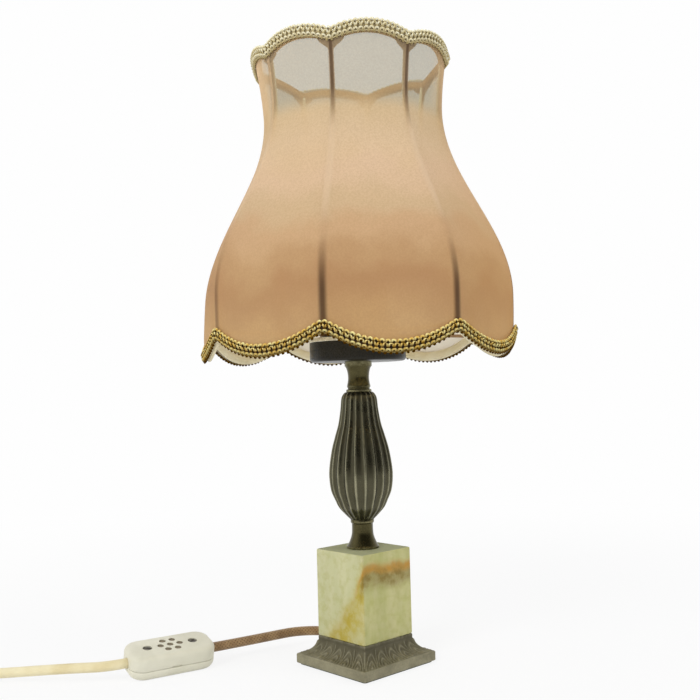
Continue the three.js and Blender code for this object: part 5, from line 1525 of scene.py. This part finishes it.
for name, edge, base, node in (("bottom", bottom_edge, -1.2, "bottom_braid"),
                               ("top", top_edge, -6.2, "top_braid")):
    gold, backing = BRAID_FINISHES[name]
    (points, faces, corners), crown = braid_loops(edge, base)
    loops = make_piece(f"{name}_braid_loops", points, faces, gold, "shade", [node], "braid", corners)
    mark(loops, "crown", crown)
    points, faces, corners = braid_core(edge, base)
    make_piece(f"{name}_braid_core", points, faces, backing, "shade", (), "braid", corners)
    print(name, "braid:", len(loops.data.vertices), "points")

# %% [markdown]
# The cloth is eight gores cut from one width, stretched on the frame, with the braids and the rolled
# bindings sewn to it.

print("cloth on the frame")

# %% [markdown]
# ## Solids that keep their own shape
# The small turned and bent parts are already right as solids: the threaded tube, the washer, the holder's
# parts, the wires of the fitter, screws and pins. They only need their finish, which replaces the one
# they came with.

# %% Finishes of the remaining solids
steel = metal_finish("zinc_steel", rgb(104, 104, 102), rgb(164, 164, 160), rgb(204, 204, 200),
                     0.9, 0.34, marked=False)
contact_brass = metal_finish("contact_brass", rgb(130, 100, 44), rgb(196, 164, 86), rgb(226, 204, 140),
                             0.9, 0.3, marked=False)
holder_black = plastic_finish("holder_moulded_black", rgb(30, 27, 25), rgb(44, 40, 36), 0.35)
porcelain = plastic_finish("holder_porcelain", rgb(226, 222, 212), rgb(240, 237, 230), 0.2)
wire_brown = plastic_finish("wire_brown", rgb(92, 58, 34), rgb(112, 74, 46), 0.45)
wire_cream = plastic_finish("wire_cream", rgb(214, 204, 178), rgb(228, 220, 198), 0.45)
dark_steel = metal_finish("screw_dark_steel", rgb(34, 32, 30), rgb(66, 62, 56), rgb(116, 110, 98),
                          0.7, 0.4, marked=False)
rocker_brown = plastic_finish("rocker_brown", rgb(84, 56, 38), rgb(104, 72, 50), 0.38)

SOLID_FINISHES = [
    (steel, ("base_washer", "base_nut", "threaded_tube", "rocker_pin")),
    (holder_black, ("lampholder_cap", "lampholder_shell", "shade_ring")),
    (porcelain, ("socket_core",)),
    (contact_brass, ("socket_thread", "centre_contact", "switch_terminal_1", "switch_terminal_2", "plug_pin_1",
                     "plug_pin_2")),
    (lacquer, ("fitter_ring", "frame_bottom_ring", "frame_top_ring",
               *(f"fitter_arm_{k}" for k in range(1, 5)))),
    (wire_brown, ("lead_wire_live",)),
    (wire_cream, ("lead_wire_neutral",)),
    (dark_steel, ("switch_screw_1", "switch_screw_2")),
    (rocker_brown, ("switch_rocker",)),
]
for finish, names in SOLID_FINISHES:
    for name in names:
        solid = frame["nodes"][name]
        solid.data.materials.clear()
        solid.data.materials.append(finish)
dressed = [n for n, solid in frame["nodes"].items() if not solid.hide_render]
print("solids that show:", len(dressed), "dressed:", sum(len(names) for _, names in SOLID_FINISHES))

# %% [markdown]
# ## Floor, backdrop and light
# The photograph has a white ground with a soft shadow. The floor is plain matt white near the lamp, so it
# takes the shadow, and fades with distance to the light of the sky behind, so no horizon shows. Two large
# soft lamps and an even sky light the lamp at a plain level. In a gloss the sky has a dark side,
# which gives round metal its contrast.

# %% Floor
GROUND = rgb(254, 254, 254)
FLOOR_HALF, FLOOR_DOWN = 8, 0.00005


def looked_at(tree):
    """1 for what is seen, straight, in a gloss or through glass, and 0 for the light that falls on things."""
    path = add(tree, "ShaderNodeLightPath").outputs
    return calc(tree, "MAXIMUM", path["Is Camera Ray"],
                calc(tree, "MAXIMUM", path["Is Glossy Ray"], path["Is Transmission Ray"]))


def white_floor():
    finish, tree, shader = new_finish("floor_white")
    feed(tree, shader, Base_Color=(*rgb(246, 247, 248), 1), Roughness=0.9)
    away = add(tree, "ShaderNodeVectorMath", operation="LENGTH")
    away = feed(tree, away, Vector=place_of(tree)).outputs["Value"]
    seen = times(tree, span(tree, away, 60, 800, 0.84, 1.0), looked_at(tree))
    glow = feed(tree, add(tree, "ShaderNodeEmission"), Color=(*GROUND, 1), Strength=1.0)
    show(tree, mix_shaders(tree, seen, shader, glow))
    return finish


floor_mesh = bpy.data.meshes.new("floor")
floor_mesh.from_pydata([(x * FLOOR_HALF, y * FLOOR_HALF, -FLOOR_DOWN)
                        for x, y in ((-1, -1), (1, -1), (1, 1), (-1, 1))], [], [(0, 1, 2, 3)])
floor_mesh.materials.append(white_floor())
floor = bpy.data.objects.new("floor", floor_mesh)
bpy.context.scene.collection.objects.link(floor)
print("floor ready")

# %% Sky and lamps
PHOTOGRAPHER, DARK_ROOM = (-0.69, -0.72, 0.0), (-0.307, -0.904, 0.287)
SKY_BRIGHT, SKY_DIM, LAMP_AIM = 0.88, 0.36, Vector((0, 0, 0.2))


def sky():
    """Even light, dimmer from where the photographer stood and from above, with a dark side in a gloss."""
    world = bpy.data.worlds.new("studio")
    world.use_nodes = True
    tree = world.node_tree
    tree.nodes.clear()
    way = add(tree, "ShaderNodeTexCoord").outputs["Generated"]
    to_photographer, to_room = (along_way(tree, way, side) for side in (PHOTOGRAPHER, DARK_ROOM))
    strength = times(tree, span(tree, to_photographer, 0.1, 0.95, SKY_BRIGHT, SKY_DIM),
                     span(tree, parts_of(tree, way)[2], 0.25, 1.0, 1.0, 0.55))
    light = feed(tree, add(tree, "ShaderNodeBackground"), Color=(1.0, 1.0, 1.0, 1), Strength=strength)
    in_gloss = times(tree, add(tree, "ShaderNodeLightPath").outputs["Is Glossy Ray"],
                     span(tree, to_room, -0.1, 0.88, 0.0, 0.95))
    seen = feed(tree, add(tree, "ShaderNodeBackground"), Color=(*GROUND, 1),
                Strength=minus(tree, 1.0, in_gloss))
    mix = mix_shaders(tree, looked_at(tree), light, seen)
    tree.links.new(mix.outputs[0], add(tree, "ShaderNodeOutputWorld").inputs[0])
    bpy.context.scene.world = world


def soft_lamp(name, place, size, power):
    data = bpy.data.lights.new(name, "AREA")
    data.shape, data.size, data.energy = "DISK", size, power
    lamp = bpy.data.objects.new(name, data)
    lamp.visible_glossy = False
    aim = (LAMP_AIM - place).to_track_quat("-Z", "Y")
    lamp.matrix_world = Matrix.Translation(place) @ aim.to_matrix().to_4x4()
    bpy.context.scene.collection.objects.link(lamp)


sky()
soft_lamp("key", Vector((-1.8, -0.45, 1.25)), 1.2, 24)
soft_lamp("fill", Vector((0.9, -1.7, 1.2)), 1.4, 12)
bpy.context.scene.view_settings.view_transform = "Standard"

# %% [markdown]
# ## Sizes, and the end
# The dressed lamp must stay the size of its solids, give or take a little cloth. Here the box of the
# solids and the box of the dressed pieces that show are worked out side by side.

# %% Boxes of the solids and of what shows
def shown_box():
    low, high = [math.inf] * 3, [-math.inf] * 3
    bpy.context.view_layer.update()
    for piece in bpy.context.scene.objects:
        if piece.type == "MESH" and piece is not floor and not piece.hide_render:
            for v in piece.data.vertices:
                p = piece.matrix_world @ v.co
                low = [min(a, b) for a, b in zip(low, p)]
                high = [max(a, b) for a, b in zip(high, p)]
    return [low, high]


{"cad": cad_box, "shown": shown_box()}
